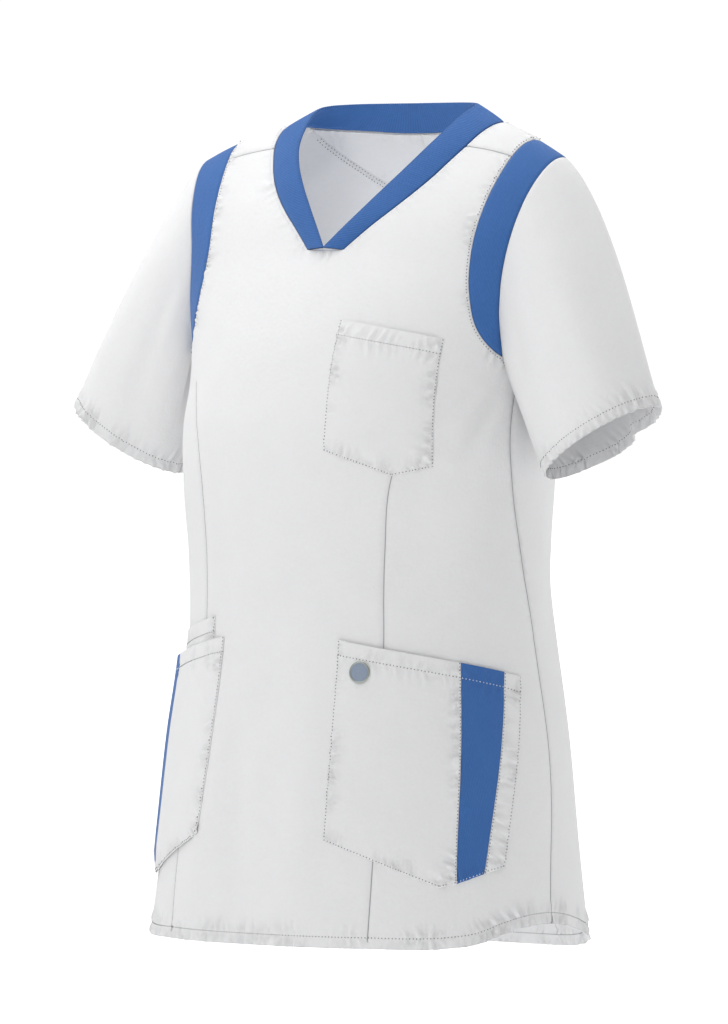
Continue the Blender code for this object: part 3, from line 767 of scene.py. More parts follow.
def rim_edges(faces):
    """The directed edges that only one triangle has."""
    edges = np.concatenate([faces[:, [0, 1]], faces[:, [1, 2]], faces[:, [2, 0]]])
    count = int(faces.max()) + 1
    forward = edges[:, 0] * count + edges[:, 1]
    backward = edges[:, 1] * count + edges[:, 0]
    return edges[~np.isin(forward, backward)]


CORNERS = np.array([[0.0, 0.0, 0.0], [1.0, 0.0, 0.0], [0.0, 1.0, 0.0]])
print("one corner triangle:", area_text(CORNERS, np.array([[0, 1, 2]])))


# %% Turning points and faces into a mesh object
# The inner layer keeps half the painted seam shade of the outer layer.
INNER_SHADE = 0.5


def new_piece(name, points, faces, finish, flat=None, shade=None):
    """A mesh object from points and faces, with a UV place and an amount of painted seam shade for each point if
    given.
    """
    mesh = bpy.data.meshes.new(name)
    mesh.from_pydata(points.tolist(), [], faces)
    mesh.materials.append(finish)
    if flat is not None:
        corners = np.zeros(len(mesh.loops), dtype=int)
        mesh.loops.foreach_get("vertex_index", corners)
        layer = mesh.uv_layers.new(name="flat")
        layer.data.foreach_set("uv", flat[corners].ravel())
    if shade is not None:
        attribute = mesh.attributes.new("seam", "FLOAT", "POINT")
        attribute.data.foreach_set("value", shade)
    mesh.shade_smooth()
    piece = bpy.data.objects.new(name, mesh)
    bpy.context.scene.collection.objects.link(piece)
    return piece


def cloth(name, points, faces, finish, thickness, flat, shade):
    """A wall of cloth: its outer layer as given, its inner layer a thickness inside, closed at the rim."""
    ways = surface_ways(points, faces)
    inner = points - thickness * ways
    shift = len(points)
    rim = rim_edges(faces)
    sides = np.concatenate(
        [
            np.stack([rim[:, 1], rim[:, 0], rim[:, 0] + shift], axis=-1),
            np.stack([rim[:, 1], rim[:, 0] + shift, rim[:, 1] + shift], axis=-1),
        ]
    )
    everything = np.concatenate([faces, faces[:, ::-1] + shift, sides]).tolist()
    both_flat, both_shade = np.concatenate([flat, flat]), np.concatenate([shade, shade * INNER_SHADE])
    print(name, area_text(points, faces))
    return new_piece(name, np.concatenate([points, inner]), everything, finish, both_flat, both_shade)


print("seam darkness kept inside:", INNER_SHADE)

# %% [markdown]
# ## Cloth, rib and thread
# The tunic is cut from a smooth white twill: fine slanting lines, a soft uneven tone and no shine. The trim is a
# blue cloth with fine upright ribs. Shader maths is written as Python expressions on a small class that wraps a
# socket, so a pattern reads like the formula it is. The patterns use the piece's own flat UV map, in metres.

# %% Expressions on sockets
def feed(tree, slot, value):
    """Link a socket into a slot, or set the slot to a plain value."""
    value = getattr(value, "socket", value)
    if isinstance(value, bpy.types.NodeSocket):
        tree.links.new(value, slot)
    else:
        slot.default_value = value


class Value:
    """A shader socket that numbers and other sockets can be added to, multiplied by and so on."""

    def __init__(self, tree, socket):
        self.tree = tree
        self.socket = socket

    def maths(self, operation, *others):
        node = self.tree.nodes.new("ShaderNodeMath")
        node.operation = operation
        for slot, item in zip(node.inputs, (self, *others)):
            feed(self.tree, slot, item)
        return Value(self.tree, node.outputs[0])

    def __add__(self, other):
        return self.maths("ADD", other)

    __radd__ = __add__

    def __mul__(self, other):
        return self.maths("MULTIPLY", other)

    __rmul__ = __mul__

    def __sub__(self, other):
        return self.maths("SUBTRACT", other)

    def __rsub__(self, other):
        return (self * -1.0) + other

    def sine(self):
        return self.maths("SINE")

    def limited(self):
        return self.maths("MINIMUM", 1.0).maths("MAXIMUM", 0.0)


class Nodes:
    """A node tree that nodes are added to."""

    def __init__(self, tree):
        self.tree = tree

    def node(self, kind, settings=(), **sockets):
        made = self.tree.nodes.new(kind)
        for name, value in dict(settings).items():
            setattr(made, name, value)
        for name, value in sockets.items():
            feed(self.tree, made.inputs[name.replace("_", " ")], value)
        return made

    def out(self, made, name):
        return Value(self.tree, made.outputs[name])


print("socket class ready")


# %% A material being built
class Finish(Nodes):
    """A material with its Principled shader."""

    def __init__(self, name, colour, roughness, sheen=0.0):
        self.material = bpy.data.materials.new(name)
        self.material.use_nodes = True
        super().__init__(self.material.node_tree)
        self.shader = self.tree.nodes["Principled BSDF"]
        self.put("Base Color", (*colour, 1.0))
        self.put("Roughness", roughness)
        self.put("Specular IOR Level", 0.25)
        self.put("Sheen Weight", sheen)
        self.material.diffuse_color = (*colour, 1.0)

    def flat(self):
        made = self.node("ShaderNodeUVMap", {"uv_map": "flat"})
        parts = self.node("ShaderNodeSeparateXYZ", Vector=self.out(made, "UV"))
        return self.out(parts, "X"), self.out(parts, "Y"), self.out(made, "UV")

    def mark(self, name):
        return self.out(self.node("ShaderNodeAttribute", {"attribute_name": name}), "Fac")

    def noise(self, where, scale, detail=2.0):
        return self.out(self.node("ShaderNodeTexNoise", Vector=where, Scale=scale, Detail=detail), "Fac")

    def mix(self, share, one, two):
        made = self.node("ShaderNodeMix", {"data_type": "RGBA"})
        for place, value in ((0, share), (6, one), (7, two)):
            feed(self.tree, made.inputs[place], value)
        return self.out(made, 2)

    def put(self, name, value):
        """Give one of the shader's inputs a value or a socket."""
        feed(self.tree, self.shader.inputs[name], value)

    def raise_by(self, height, distance):
        bump = self.node("ShaderNodeBump", Height=height, Distance=distance, Strength=1.0)
        self.put("Normal", self.out(bump, "Normal"))


print("finish class ready")

# %% White twill
TWILL_PITCH = 0.0011
WEAVE_HEIGHT = 0.00009
WHITE = (0.86, 0.862, 0.868)
WHITE_DEEP = (0.79, 0.793, 0.80)
# SEAM_SHADE is the grey of painted shade, laid along seam grooves, hem edges and pucker troughs.
SEAM_SHADE = (0.23, 0.235, 0.25)


def make_twill(name, colour, deep, seam, pitch, slant, sheen, rib_share=0.10):
    """A twill: slanting ribs at a pitch, a finer thread across them, a soft uneven tone and painted shade along its
    seams.
    """
    finish = Finish(name, colour, 0.85, sheen)
    across, up, where = finish.flat()
    slanting = (across + up * slant) * (2 * math.pi / pitch)
    threads = ((up - across * slant) * (2 * math.pi / (0.62 * pitch))).sine()
    ribs = slanting.sine()
    tone = finish.noise(where, 26.0, 3.0)
    fleck = finish.noise(where, 900.0, 2.0)
    mottle = finish.noise(where, 260.0, 2.0)
    cloth_tone = (tone * 0.5 + fleck * 0.5 + mottle * 0.5 - 0.25 + ribs * rib_share).limited()
    # The seam mark is painted shade: it mixes the cloth's colour toward the seam colour in grooves and troughs.
    shade = finish.mark("seam").limited()
    base = finish.mix(cloth_tone, (*deep, 1.0), (*colour, 1.0))
    finish.put("Base Color", finish.mix(shade, base, (*seam, 1.0)))
    finish.put("Roughness", (fleck * 0.16 + 0.76).limited())
    finish.raise_by(ribs * 0.5 + threads * 0.35 + fleck * 0.9 + mottle * 4.0, WEAVE_HEIGHT)
    return finish.material


white_twill = make_twill("white_twill", WHITE, WHITE_DEEP, SEAM_SHADE, TWILL_PITCH, 0.7, 0.1)
print("twill nodes:", len(white_twill.node_tree.nodes))

# %% Blue twill and blue rib
BLUE = (0.055, 0.165, 0.445)
BLUE_DEEP = (0.036, 0.118, 0.345)
# Painted shade for the blue pieces' seams and edges.
BLUE_SEAM_SHADE = (0.016, 0.045, 0.140)
blue_twill = make_twill("blue_twill", BLUE, BLUE_DEEP, BLUE_SEAM_SHADE, 0.0018, 0.2, 0.12, 0.30)
blue_rib = make_twill("blue_rib", BLUE, BLUE_DEEP, BLUE_SEAM_SHADE, 0.0020, 0.0, 0.12, 0.30)
print("blue:", BLUE)


# %% Thread and badge
def make_plain(name, colour, roughness, metallic=0.0):
    """A plain finish with a little unevenness in its tone."""
    finish = Finish(name, colour, roughness)
    where = finish.out(finish.node("ShaderNodeTexCoord"), "Object")
    fleck = finish.noise(where, 700.0, 2.0)
    deep = tuple(0.8 * part for part in colour)
    finish.put("Base Color", finish.mix(fleck, (*deep, 1.0), (*colour, 1.0)))
    finish.put("Metallic", metallic)
    return finish.material


# The dark grey thread is painted shade: it stands for the shadowed needle holes of stitches sunk into the white
# cloth.
thread_shaded = make_plain("thread_shaded", (0.17, 0.172, 0.18), 0.8)
thread_white = make_plain("thread_white", (0.80, 0.82, 0.86), 0.7)
badge_rim = make_plain("badge_rim", (0.42, 0.45, 0.42), 0.35, 0.6)
badge_face = make_plain("badge_face", (0.30, 0.36, 0.46), 0.3)
print("materials:", [m.name for m in bpy.data.materials if m.users])

# %% [markdown]
# ## Seam lines shared by neighbours
# Each seam is one line in space, used by both pieces that meet there, so the groove and the puckers agree on both
# sides. A seam says how deep it dips, how much painted shade its line gets and how strongly the cloth puckers
# beside it.

# %% Lines in space
def mirrored(points):
    return points * np.array([-1.0, 1.0, 1.0])


# A seam's shade is the amount of painted shade along its line.
def seam(line, dip=0.0008, width=0.0009, shade=0.6, pucker=0.0, reach=0.010, pitch=0.0085, seed=1, edge=False):
    return {
        "line": line,
        "dip": dip,
        "width": width,
        "shade": shade,
        "pucker": pucker,
        "reach": reach,
        "pitch": pitch,
        "seed": seed,
        "edge": edge,
    }


def both(make_line, seed, **settings):
    """The seam on the wearer's left and its mirror image on the right, with puckers of their own."""
    line = body_point(make_line)
    return [seam(line, seed=seed, **settings), seam(mirrored(line), seed=seed + 40, **settings)]


PUCKER_HEIGHT = 1.8
# TROUGH_SHADE sets how much painted shade fills the pucker troughs.
TROUGH_SHADE = 280.0
THREAD_TROUGH = 0.0013
SEAM_LINE_WIDTH = 0.00042


def sewn(points, seams):
    """The push of grooves and puckers at points, and the painted shade there: along the seam lines and in the
    pucker troughs.
    """
    push, shade = np.zeros(len(points)), np.zeros(len(points))
    for item in seams:
        close, distance, along = near_line(points, item["line"], max(0.004, 2.2 * item["reach"]))
        push[close] -= item["dip"] * groove(distance, item["width"])
        if item["pucker"]:
            ripple = puckers(distance, along, item["seed"], item["pitch"], item["reach"])
            ripple = ripple if item["edge"] else ripple * (1 - groove(distance, THREAD_TROUGH))
            push[close] += PUCKER_HEIGHT * item["pucker"] * ripple
            # Painted shade in the pucker troughs.
            shade[close] += TROUGH_SHADE * item["pucker"] * np.clip(-ripple - 0.1, 0, 1)
        # Painted shade along the seam line itself, where its groove lies.
        shade[close] = np.maximum(shade[close], item["shade"] * groove(distance, SEAM_LINE_WIDTH))
    return push, shade


print("pucker height:", PUCKER_HEIGHT)

# %% The seams that both panels share
HEM_TURN = 0.0095
LINE_STEP = 0.002
THREAD_STEP = 0.001


def hem_loop(rise):
    """The whole hem as one closed line, a little above its edge if asked."""
    steps = np.linspace(0, 1, 260)
    left = body_point(hem_line(steps, False, rise))
    back = body_point(hem_line(steps, True, rise))[::-1]
    half = np.concatenate([left, back[1:]])
    return np.concatenate([half, mirrored(half)[::-1][1:]])


HEM_EDGE = hem_loop(0.0)
HEM_STITCH = hem_loop(HEM_TURN)
ARMHOLE_PLACES = evenly(panel_edge, 0, LAST_STATION, LINE_STEP)
SLEEVE_PLACES = evenly(sleeve_edge, 0, LAST_STATION, LINE_STEP)
NECK_PLACES = evenly(neck_edge, 0, BACK_CENTRE, LINE_STEP)
SIDE_PLACES = evenly(lambda at: side_seam(at, False), 0, 1, LINE_STEP)
HEM_WAVES = {"dip": -0.0003, "width": 0.005, "edge": True}
# The shade values are painted shade: a line along the hem's edge, and full lines along the side and shoulder seams.
SHARED_SEAMS = [
    seam(HEM_EDGE, shade=0.3, pucker=0.0008, reach=0.008, pitch=0.0105, seed=3, **HEM_WAVES),
    seam(HEM_STITCH, dip=0.0001, width=0.0009, shade=0.0, pucker=0.0010, reach=0.011, seed=5),
    *both(SIDE_PLACES, 7, dip=0.0008, shade=1.0, pucker=0.0002, reach=0.006),
    *both(ARMHOLE_PLACES, 11, dip=0.0006, shade=0.0, pucker=0.0007, reach=0.014),
    *both(shoulder_seam(np.linspace(0, 1, 30)), 13, dip=0.0007, shade=0.9, pucker=0.0002, reach=0.006),
    *both(NECK_PLACES, 17, dip=0.0005, shade=0.0, pucker=0.0006, reach=0.014, pitch=0.0090),
]
print("hem round:", round(float(np.linalg.norm(np.diff(HEM_EDGE, axis=0), axis=1).sum()), 3), "m")


# %% Where a place on a piece ends up
def lay(places, side, lift, seams):
    """Points, outward ways and seam darkness of places on the body, after lift, folds, grooves and puckers."""
    points, ways = body_point(places), body_way(places)
    turned = np.asarray(side) < 0
    points[turned], ways[turned] = mirrored(points[turned]), mirrored(ways[turned])
    push, shade = sewn(points, seams)
    push = push + lift + body_folds(points)
    return points + ways * push[:, None], ways, shade


def lay_line(places, side, lift, seams):
    points, ways, _ = lay(places, np.full(len(places), side), lift, seams)
    return points, ways


STITCH_LINES = []


def sew(carrier, places, side, lift, seams, thread="shaded"):
    """Remember a line of stitches on a piece, to be sewn at the end."""
    points, ways = lay_line(places, side, lift, seams)
    STITCH_LINES.append((carrier, points, ways, thread))


def sew_inside(carrier, places, side, lift, seams):
    """Remember a line of stitches on the inner side of a piece."""
    points, ways = lay_line(places, side, lift, seams)
    STITCH_LINES.append((carrier, points, -ways, "shaded"))


def inset(curve_places, distance):
    """A line moved sideways on the body: to its left where the distance is positive."""
    flat = curve_places * FLAT
    way = unit(np.gradient(flat, axis=0))
    return (flat + distance * np.stack([-way[:, 1], way[:, 0]], axis=-1)) / FLAT


print("ready to lay pieces")

# %% [markdown]
# ## Front and back
# The front and the back are each one outline from hem to neck. Their darts are closed seams inside the outline:
# narrow grooves with a thin line of painted shade along them. The stitches of the hem lie 9.5 mm above its edge.

# %% The front panel
CLOTH = 0.0010
CENTRE_POINTS = {"front": 170, "back": 280}
DART_START = 0.016


def between(start, end, count):
    """Places spaced evenly from one place to another."""
    return start + (end - start) * np.linspace(0, 1, count)[:, None]


def front_edges():
    hem = evenly(lambda at: hem_line(at, False), 0, 1, SEWN_STEP)
    side = evenly(lambda at: side_seam(at, False), 0, 1, EDGE_STEP)
    armhole = evenly(panel_edge, 0, SHOULDER_SEAM, SEWN_STEP)
    shoulder = evenly(shoulder_seam, 0, 1, EDGE_STEP)
    corner = evenly(neck_edge, 0, V_CORNER, SEWN_STEP)[::-1]
    neck = evenly(neck_edge, V_CORNER, NECK_POINT, SEWN_STEP)[::-1]
    centre = between(neck_edge(0)[0], hem_line(np.zeros(1), False)[0], CENTRE_POINTS["front"])
    return [hem, side, armhole, shoulder, neck, corner, centre]


def dart_seams(back, seed):
    places = evenly(lambda at: dart_line(at, back), DART_START, 1, LINE_STEP)
    # A dart's groove gets a full line of painted shade.
    return both(places, seed, dip=0.0008, width=0.0009, shade=1.0, pucker=0.00018, reach=0.006)


def make_panel(name, edges, inner_lines, seams, plain=(), lift=0.0, thickness=CLOTH):
    """A piece that crosses the centre: its left half and its mirror image. Edges listed as plain get few rows."""
    places, faces, side = with_mirror(*fill_outline(edges, inner_lines, plain))
    points, ways, shade = lay(places, side, lift, seams)
    flat = places * FLAT
    flat[side < 0, 0] *= -1
    return cloth(name, points, oriented(points, faces, ways), white_twill, thickness, flat, shade)


FRONT_SEAMS = SHARED_SEAMS + dart_seams(False, 21)
make_panel(
    "tunic_front",
    front_edges(),
    [
        evenly(lambda at: dart_line(at, False), DART_START, 1, EDGE_STEP),
        evenly(lambda at: hem_line(at, False, HEM_TURN), 0.004, 0.995, SEWN_STEP),
    ],
    FRONT_SEAMS,
    (1, 3, 6, 7),
)


# %% The back panel
def back_edges():
    hem = evenly(lambda at: hem_line(at, True), 0, 1, SEWN_STEP)
    side = evenly(lambda at: side_seam(at, True), 0, 1, EDGE_STEP)
    armhole = evenly(panel_edge, SHOULDER_SEAM, LAST_STATION, SEWN_STEP)[::-1]
    shoulder = evenly(shoulder_seam, 0, 1, EDGE_STEP)
    neck = evenly(neck_edge, NECK_POINT, BACK_CENTRE, SEWN_STEP)
    centre = between(neck_edge(BACK_CENTRE)[0], hem_line(np.zeros(1), True)[0], CENTRE_POINTS["back"])
    return [hem, side, armhole, shoulder, neck, centre]


def facing_bottom(at):
    """The facing's lower edge, from its end by the shoulder, at zero, to centre back, at one."""
    rows = np.radians(np.stack([column(FACING, FACING_COLUMNS, name) for name in FACING_COLUMNS], axis=-1))
    count = np.arange(len(FACING), dtype=float)
    at = np.asarray(at, dtype=float) * (len(FACING) - 1)
    return np.stack([smooth(count, rows[:, axis], at) for axis in (0, 1)], axis=-1)


FACING_BOTTOM = evenly(facing_bottom, 0, 1, LINE_STEP)
# A faint line of painted shade along the facing's lower edge.
FACING_SEAMS = [
    *both(FACING_BOTTOM, 25, dip=0.0004, width=0.0010, shade=0.10, pucker=0.0004, reach=0.007),
]
BACK_SEAMS = SHARED_SEAMS + dart_seams(True, 23) + FACING_SEAMS
make_panel(
    "tunic_back",
    back_edges(),
    [
        evenly(lambda at: dart_line(at, True), DART_START, 1, EDGE_STEP),
        evenly(lambda at: hem_line(at, True, HEM_TURN), 0.004, 0.995, SEWN_STEP),
        evenly(facing_bottom, 0.02, 0.99, EDGE_STEP),
    ],
    BACK_SEAMS,
    (1, 3, 5, 6, 8),
)

# %% Their stitches
TOPSTITCH = 0.0022
PANEL_SEWING = (
    ("front", FRONT_SEAMS, (1, SHOULDER_SEAM), (V_CORNER, NECK_POINT)),
    ("back", BACK_SEAMS, (SHOULDER_SEAM, 28), (NECK_POINT, BACK_CENTRE)),
)
for side in (1, -1):
    for carrier, seams, _, _ in PANEL_SEWING:
        line = evenly(lambda at: hem_line(at, carrier == "back", HEM_TURN), 0, 1, THREAD_STEP)
        sew(carrier, line, side, 0.0, seams)
    sew_inside("back", line, side, -CLOTH, BACK_SEAMS)
    for carrier, seams, stations, _ in PANEL_SEWING:
        armhole = evenly(panel_edge, *stations, THREAD_STEP)
        sew(carrier, inset(armhole, TOPSTITCH)[4:-2], side, 0.0, seams)
    for carrier, seams, _, stations in PANEL_SEWING:
        neck = evenly(neck_edge, *stations, THREAD_STEP)
        sew(carrier, inset(neck, -TOPSTITCH)[2:], side, 0.0, seams, "white")
print("stitch lines:", len(STITCH_LINES))

# %% [markdown]
# ## Strips round the armholes
# A blue strip runs from a point at the front, over the shoulder, to a point at the back. It lies between the
# panel's edge and the sleeve's edge, on the same surface.

# %% The shoulder inserts
def insert_edges():
    inner = evenly(panel_edge, FRONT_TIP, BACK_TIP, EDGE_STEP)
    outer = evenly(sleeve_edge, FRONT_TIP, BACK_TIP, EDGE_STEP)[::-1]
    return [inner, outer]


# The insert's edges get lines of painted shade.
INSERT_SEAMS = [
    *both(ARMHOLE_PLACES, 11, dip=0.0010, shade=0.8),
    *both(SLEEVE_PLACES, 27, dip=0.0010, shade=0.8),
]


def make_patch(name, edges, side, lift, seams, finish, thickness, inner_lines=(), loft=None):
    """A piece on one side of the body, lying a lift above its surface."""
    places, faces = fill_outline(edges, inner_lines)
    points, ways, shade = lay(places, np.full(len(places), side), lift, seams)
    if loft is not None:
        base = body_point(places) if side > 0 else mirrored(body_point(places))
        points = points + ways * loft(base)[:, None]
    return cloth(name, points, oriented(points, faces, ways), finish, thickness, places * FLAT, shade)


for word, side in (("left", 1), ("right", -1)):
    make_patch(f"insert_{word}", insert_edges(), side, 0.0, INSERT_SEAMS, blue_twill, CLOTH)

# %% [markdown]
# ## Sleeves
# A sleeve is a tube. It leaves the armhole along the seam and ends in a tilted oval hem. Its points are worked out
# on a grid: one direction goes round from underarm to underarm, the other from the seam to the hem.

# %% The sleeve's form
SLEEVE_COLUMNS = 230
SEAM_SHARES = [0, 0.0035, 0.008, 0.015, 0.026]
SLEEVE_SHARES = np.concatenate([SEAM_SHARES, np.linspace(0.04, 0.93, 62), np.linspace(0.938, 1, 14)])


def sleeve_form():
    """Base points of the sleeve: a row for each share of its length, a column for each step round."""
    edge = evenly(sleeve_edge, 0, LAST_STATION, 0.0005)
    start = body_point(edge)
    way = np.concatenate([[0], np.cumsum(np.linalg.norm(np.diff(start, axis=0), axis=1))])
    ridge_place = sleeve_edge(RIDGE_STATION)[0]
    top_index = np.argmin(np.linalg.norm(edge - ridge_place, axis=1))
    rest = (way - way[top_index]) / (way[-1] - way[top_index])
    share_all = np.where(way <= way[top_index], way / way[top_index], 1 - rest)
    facing_all = np.where(np.arange(len(way)) <= top_index, -1.0, 1.0)
    pick = np.linspace(0, way[-1], SLEEVE_COLUMNS + 1)[:-1]
    index = np.searchsorted(way, pick)
    start, share, facing = start[index], share_all[index], facing_all[index]
    out, away, fall = (
        from_table(SLEEVE_START, SLEEVE_START_COLUMNS, name, share) for name in SLEEVE_START_COLUMNS[1:]
    )
    leave = np.stack([out, facing * away, -fall], axis=-1)
    around = math.pi * (1 - share)
    near_dent = np.exp(-(((share - SLEEVE_DENT_PLACE) / SLEEVE_DENT_WIDTH) ** 2))
    dent = 1 - SLEEVE_BACK_DENT * near_dent * (facing > 0)
    outward = np.array([math.cos(SLEEVE_HEM_TILT), 0, math.sin(SLEEVE_HEM_TILT)])
    downward = np.array([math.sin(SLEEVE_HEM_TILT), 0, -math.cos(SLEEVE_HEM_TILT)])
    across = (SLEEVE_HEM_ACROSS * dent * np.cos(around))[:, None] * outward
    deep = (SLEEVE_HEM_DEEP * dent * np.sin(around) * facing)[:, None] * np.array([0, 1, 0])
    end = np.array(SLEEVE_HEM_CENTRE) + across + deep
    rows = []
    for t in SLEEVE_SHARES:
        keep = 2 * t**3 - 3 * t**2 + 1
        places = keep * start + (1 - keep) * end
        rows.append(places + (t**3 - 2 * t**2 + t) * leave + (t**3 - t**2) * SLEEVE_HEM_PULL * downward)
    return np.array(rows), edge[index]


def grid_ways(grid):
    padded = np.concatenate([grid[:, -1:], grid, grid[:, :1]], axis=1)
    by_column = (padded[:, 2:] - padded[:, :-2]) / 2
    return -unit(np.cross(by_column, np.gradient(grid, axis=0)))


SLEEVE_FORM, SLEEVE_START_PLACES = sleeve_form()
print("sleeve grid:", SLEEVE_FORM.shape[:2])

# %% The sleeve's folds, round from the underarm by the front, and down from the seam
SLEEVE_FOLD_COLUMNS = ("round_from", "down_from", "round_to", "down_to", "width", "depth")
SLEEVE_FOLDS = (
    (0.22, 0.10, 0.17, 0.95, 0.014, -0.0030),
    (0.34, 0.18, 0.33, 0.90, 0.018, 0.0026),
    (0.44, 0.08, 0.43, 0.60, 0.014, -0.0018),
    (0.56, 0.12, 0.60, 0.85, 0.018, -0.0024),
    (0.70, 0.15, 0.72, 0.90, 0.018, 0.0024),
    (0.84, 0.10, 0.86, 0.95, 0.014, -0.0026),
    (0.08, 0.06, 0.13, 0.60, 0.009, 0.0018),
    (0.03, 0.05, 0.06, 0.80, 0.009, -0.0020),
    (0.95, 0.08, 0.93, 0.70, 0.010, 0.0018),
    (0.66, 0.45, 0.68, 1.02, 0.014, -0.0130),
    (0.80, 0.55, 0.79, 1.02, 0.016, 0.0030),
)
SLEEVE_ROUND = 0.40
SLEEVE_LENGTH = 0.21


def sleeve_flat(rounds, shares):
    return np.stack([rounds * SLEEVE_ROUND, shares * SLEEVE_LENGTH, 0 * rounds], axis=-1)


def sleeve_push(rounds, shares):
    """How far the sleeve's folds push its points. A fold that reaches the hem runs out over it."""
    flat = sleeve_flat(rounds, shares)
    push = np.zeros(len(flat))
    for row in SLEEVE_FOLDS:
        fold = dict(zip(SLEEVE_FOLD_COLUMNS, row))
        t = np.linspace(0, 1, 20)
        line = sleeve_flat(
            fold["round_from"] + (fold["round_to"] - fold["round_from"]) * t,
            fold["down_from"] + (fold["down_to"] - fold["down_from"]) * t,
        )
        close, height = fold_push(flat, line, fold["width"], fold["depth"], fold["down_to"] >= 1)
        push[close] += height
    return push


print("sleeve folds:", len(SLEEVE_FOLDS))


# %% Making a sleeve
BLEND_SHARE = 0.035
FOLD_START_SHARE = 0.06


def level_line(grid, rise):
    """A closed line round the sleeve, a rise above its hem."""
    lengths = np.linalg.norm(np.diff(grid[::-1], axis=0), axis=2)
    way = np.concatenate([np.zeros((1, grid.shape[1])), np.cumsum(lengths, axis=0)])
    line = []
    for col in range(grid.shape[1]):
        line.append([np.interp(rise, way[:, col], grid[::-1, col, axis]) for axis in range(3)])
    return np.array(line + line[:1])


def make_sleeve(name, side):
    grid = SLEEVE_FORM
    ways = grid_ways(grid)
    near_seam = (np.clip(1 - SLEEVE_SHARES / BLEND_SHARE, 0, 1) ** 0.7)[:, None, None]
    ways = unit(ways + near_seam * (body_way(SLEEVE_START_PLACES)[None] - ways))
    count = grid.shape[1]
    edge_line = np.concatenate([grid[-1], grid[-1][:1]])
    stitch_line = level_line(grid, HEM_TURN)
    seed = 60 if side > 0 else 90
    # Painted shade along the armhole seam, the hem's edge and the underarm seam.
    seams = [
        seam(body_point(SLEEVE_PLACES), dip=0.0007, shade=0.2),
        seam(edge_line, shade=0.25, pucker=0.0007, reach=0.009, seed=seed, **HEM_WAVES),
        seam(stitch_line, dip=0.0001, width=0.0009, shade=0.0, pucker=0.0009, reach=0.011, seed=seed + 3),
        seam(grid[:, 0], dip=0.0007, shade=0.5, pucker=0.0002, reach=0.006, seed=seed + 5),
    ]
    shares = np.repeat(SLEEVE_SHARES, count)
    rounds = np.tile(np.arange(count) / count, len(SLEEVE_SHARES))
    body_part = np.repeat(body_folds(grid[0])[None], len(SLEEVE_SHARES), axis=0).ravel() * (1 - shares) ** 9
    seam_push, shade = sewn(grid.reshape(-1, 3), seams)
    fold_part = sleeve_push(rounds, shares) * np.clip(shares / FOLD_START_SHARE, 0, 1)
    push = seam_push + body_part + fold_part
    points = grid.reshape(-1, 3) + ways.reshape(-1, 3) * push[:, None]
    laid = points.reshape(grid.shape)
    stitches = level_line(laid, HEM_TURN)
    stitch_ways = np.concatenate([ways[-3], ways[-3][:1]])
    index = np.arange(len(points)).reshape(grid.shape[:2])
    right = np.roll(index, -1, axis=1)
    quads = np.stack([index[:-1], right[:-1], right[1:], index[1:]], axis=-1).reshape(-1, 4)
    faces = np.concatenate([quads[:, [0, 1, 2]], quads[:, [0, 2, 3]]])
    faces = oriented(points, faces, ways.reshape(-1, 3))
    flat = sleeve_flat(rounds, shares)[:, :2]
    if side < 0:
        points, faces = mirrored(points), faces[:, ::-1]
        stitches, stitch_ways = mirrored(stitches), mirrored(stitch_ways)
    STITCH_LINES.append((name, stitches, stitch_ways, "shaded"))
    STITCH_LINES.append((name, stitches - stitch_ways * CLOTH, -stitch_ways, "shaded"))
    return cloth(name, points, faces, white_twill, CLOTH, flat, shade)


for word, side in (("left", 1), ("right", -1)):
    make_sleeve(f"sleeve_cloth_{word}", side)

# %% [markdown]
# ## The ribbed neck band
# The band is a strip folded in two along its free edge, so the edge is round. Fine ribs run across it, 2 mm
# apart, and are part of its shape. Its two ends are cut level and meet at the V.

# %% The neck band
BAND_WALL = 0.0018
RIB_PITCH = 0.0020
RIB_HEIGHT = 0.00016
RIB_STEPS = 4
BAND_ACROSS = 12
ROUND_STEPS = 5
BAND_CROWN = 0.0009
BAND_TUCK = 0.0007
BAND_ROW_STEP = 0.0024


def band_free_edge(at):
    count = np.arange(len(BAND_EDGE), dtype=float)
    values = np.stack([column(BAND_EDGE, BAND_COLUMNS, name) for name in BAND_COLUMNS], axis=-1)
    return np.stack([smooth(count, values[:, axis], np.asarray(at) - V_CORNER) for axis in range(3)], axis=-1)


def band_rows(low, free, low_ways, ways):
    """Rows of points from the seam up the outer side, round the free edge and down the inner side."""
    rib = RIB_HEIGHT * np.cos(2 * math.pi * np.arange(len(low)) / RIB_STEPS)
    rows = []
    for t in np.linspace(0, 1, BAND_ACROSS + 1):
        crown = BAND_CROWN * math.sin(math.pi * t) ** 0.6
        tuck = -BAND_TUCK * low_ways * (1 - t) ** 6
        rows.append(low + (free - low) * t + ways * (crown + rib * (t > 0.02))[:, None] + tuck)
    beyond = unit(free - low)
    middle = free - ways * BAND_WALL / 2
    radius = (BAND_WALL / 2 + rib * 0.5)[:, None]
    for turn in np.linspace(0, math.pi, ROUND_STEPS + 2)[1:-1]:
        rows.append(middle + (ways * math.cos(turn) + beyond * math.sin(turn)) * radius)
    for t in np.linspace(1, 0, BAND_ACROSS // 2 + 1):
        rows.append(low + (free - low) * t - ways * BAND_WALL)
    return np.array(rows)


def band_faces(index):
    """Quads between the rows, which close on themselves, and a face on each cut end."""
    below = np.roll(index, -1, axis=0)
    quads = np.stack([index[:, :-1], index[:, 1:], below[:, 1:], below[:, :-1]], axis=-1).reshape(-1, 4)
    ends = [tuple(index[:, 0].tolist()), tuple(index[::-1, -1].tolist())]
    return [tuple(quad) for quad in quads.tolist()] + ends


print("rows round the band:", BAND_ACROSS + 1 + ROUND_STEPS + BAND_ACROSS // 2 + 1)


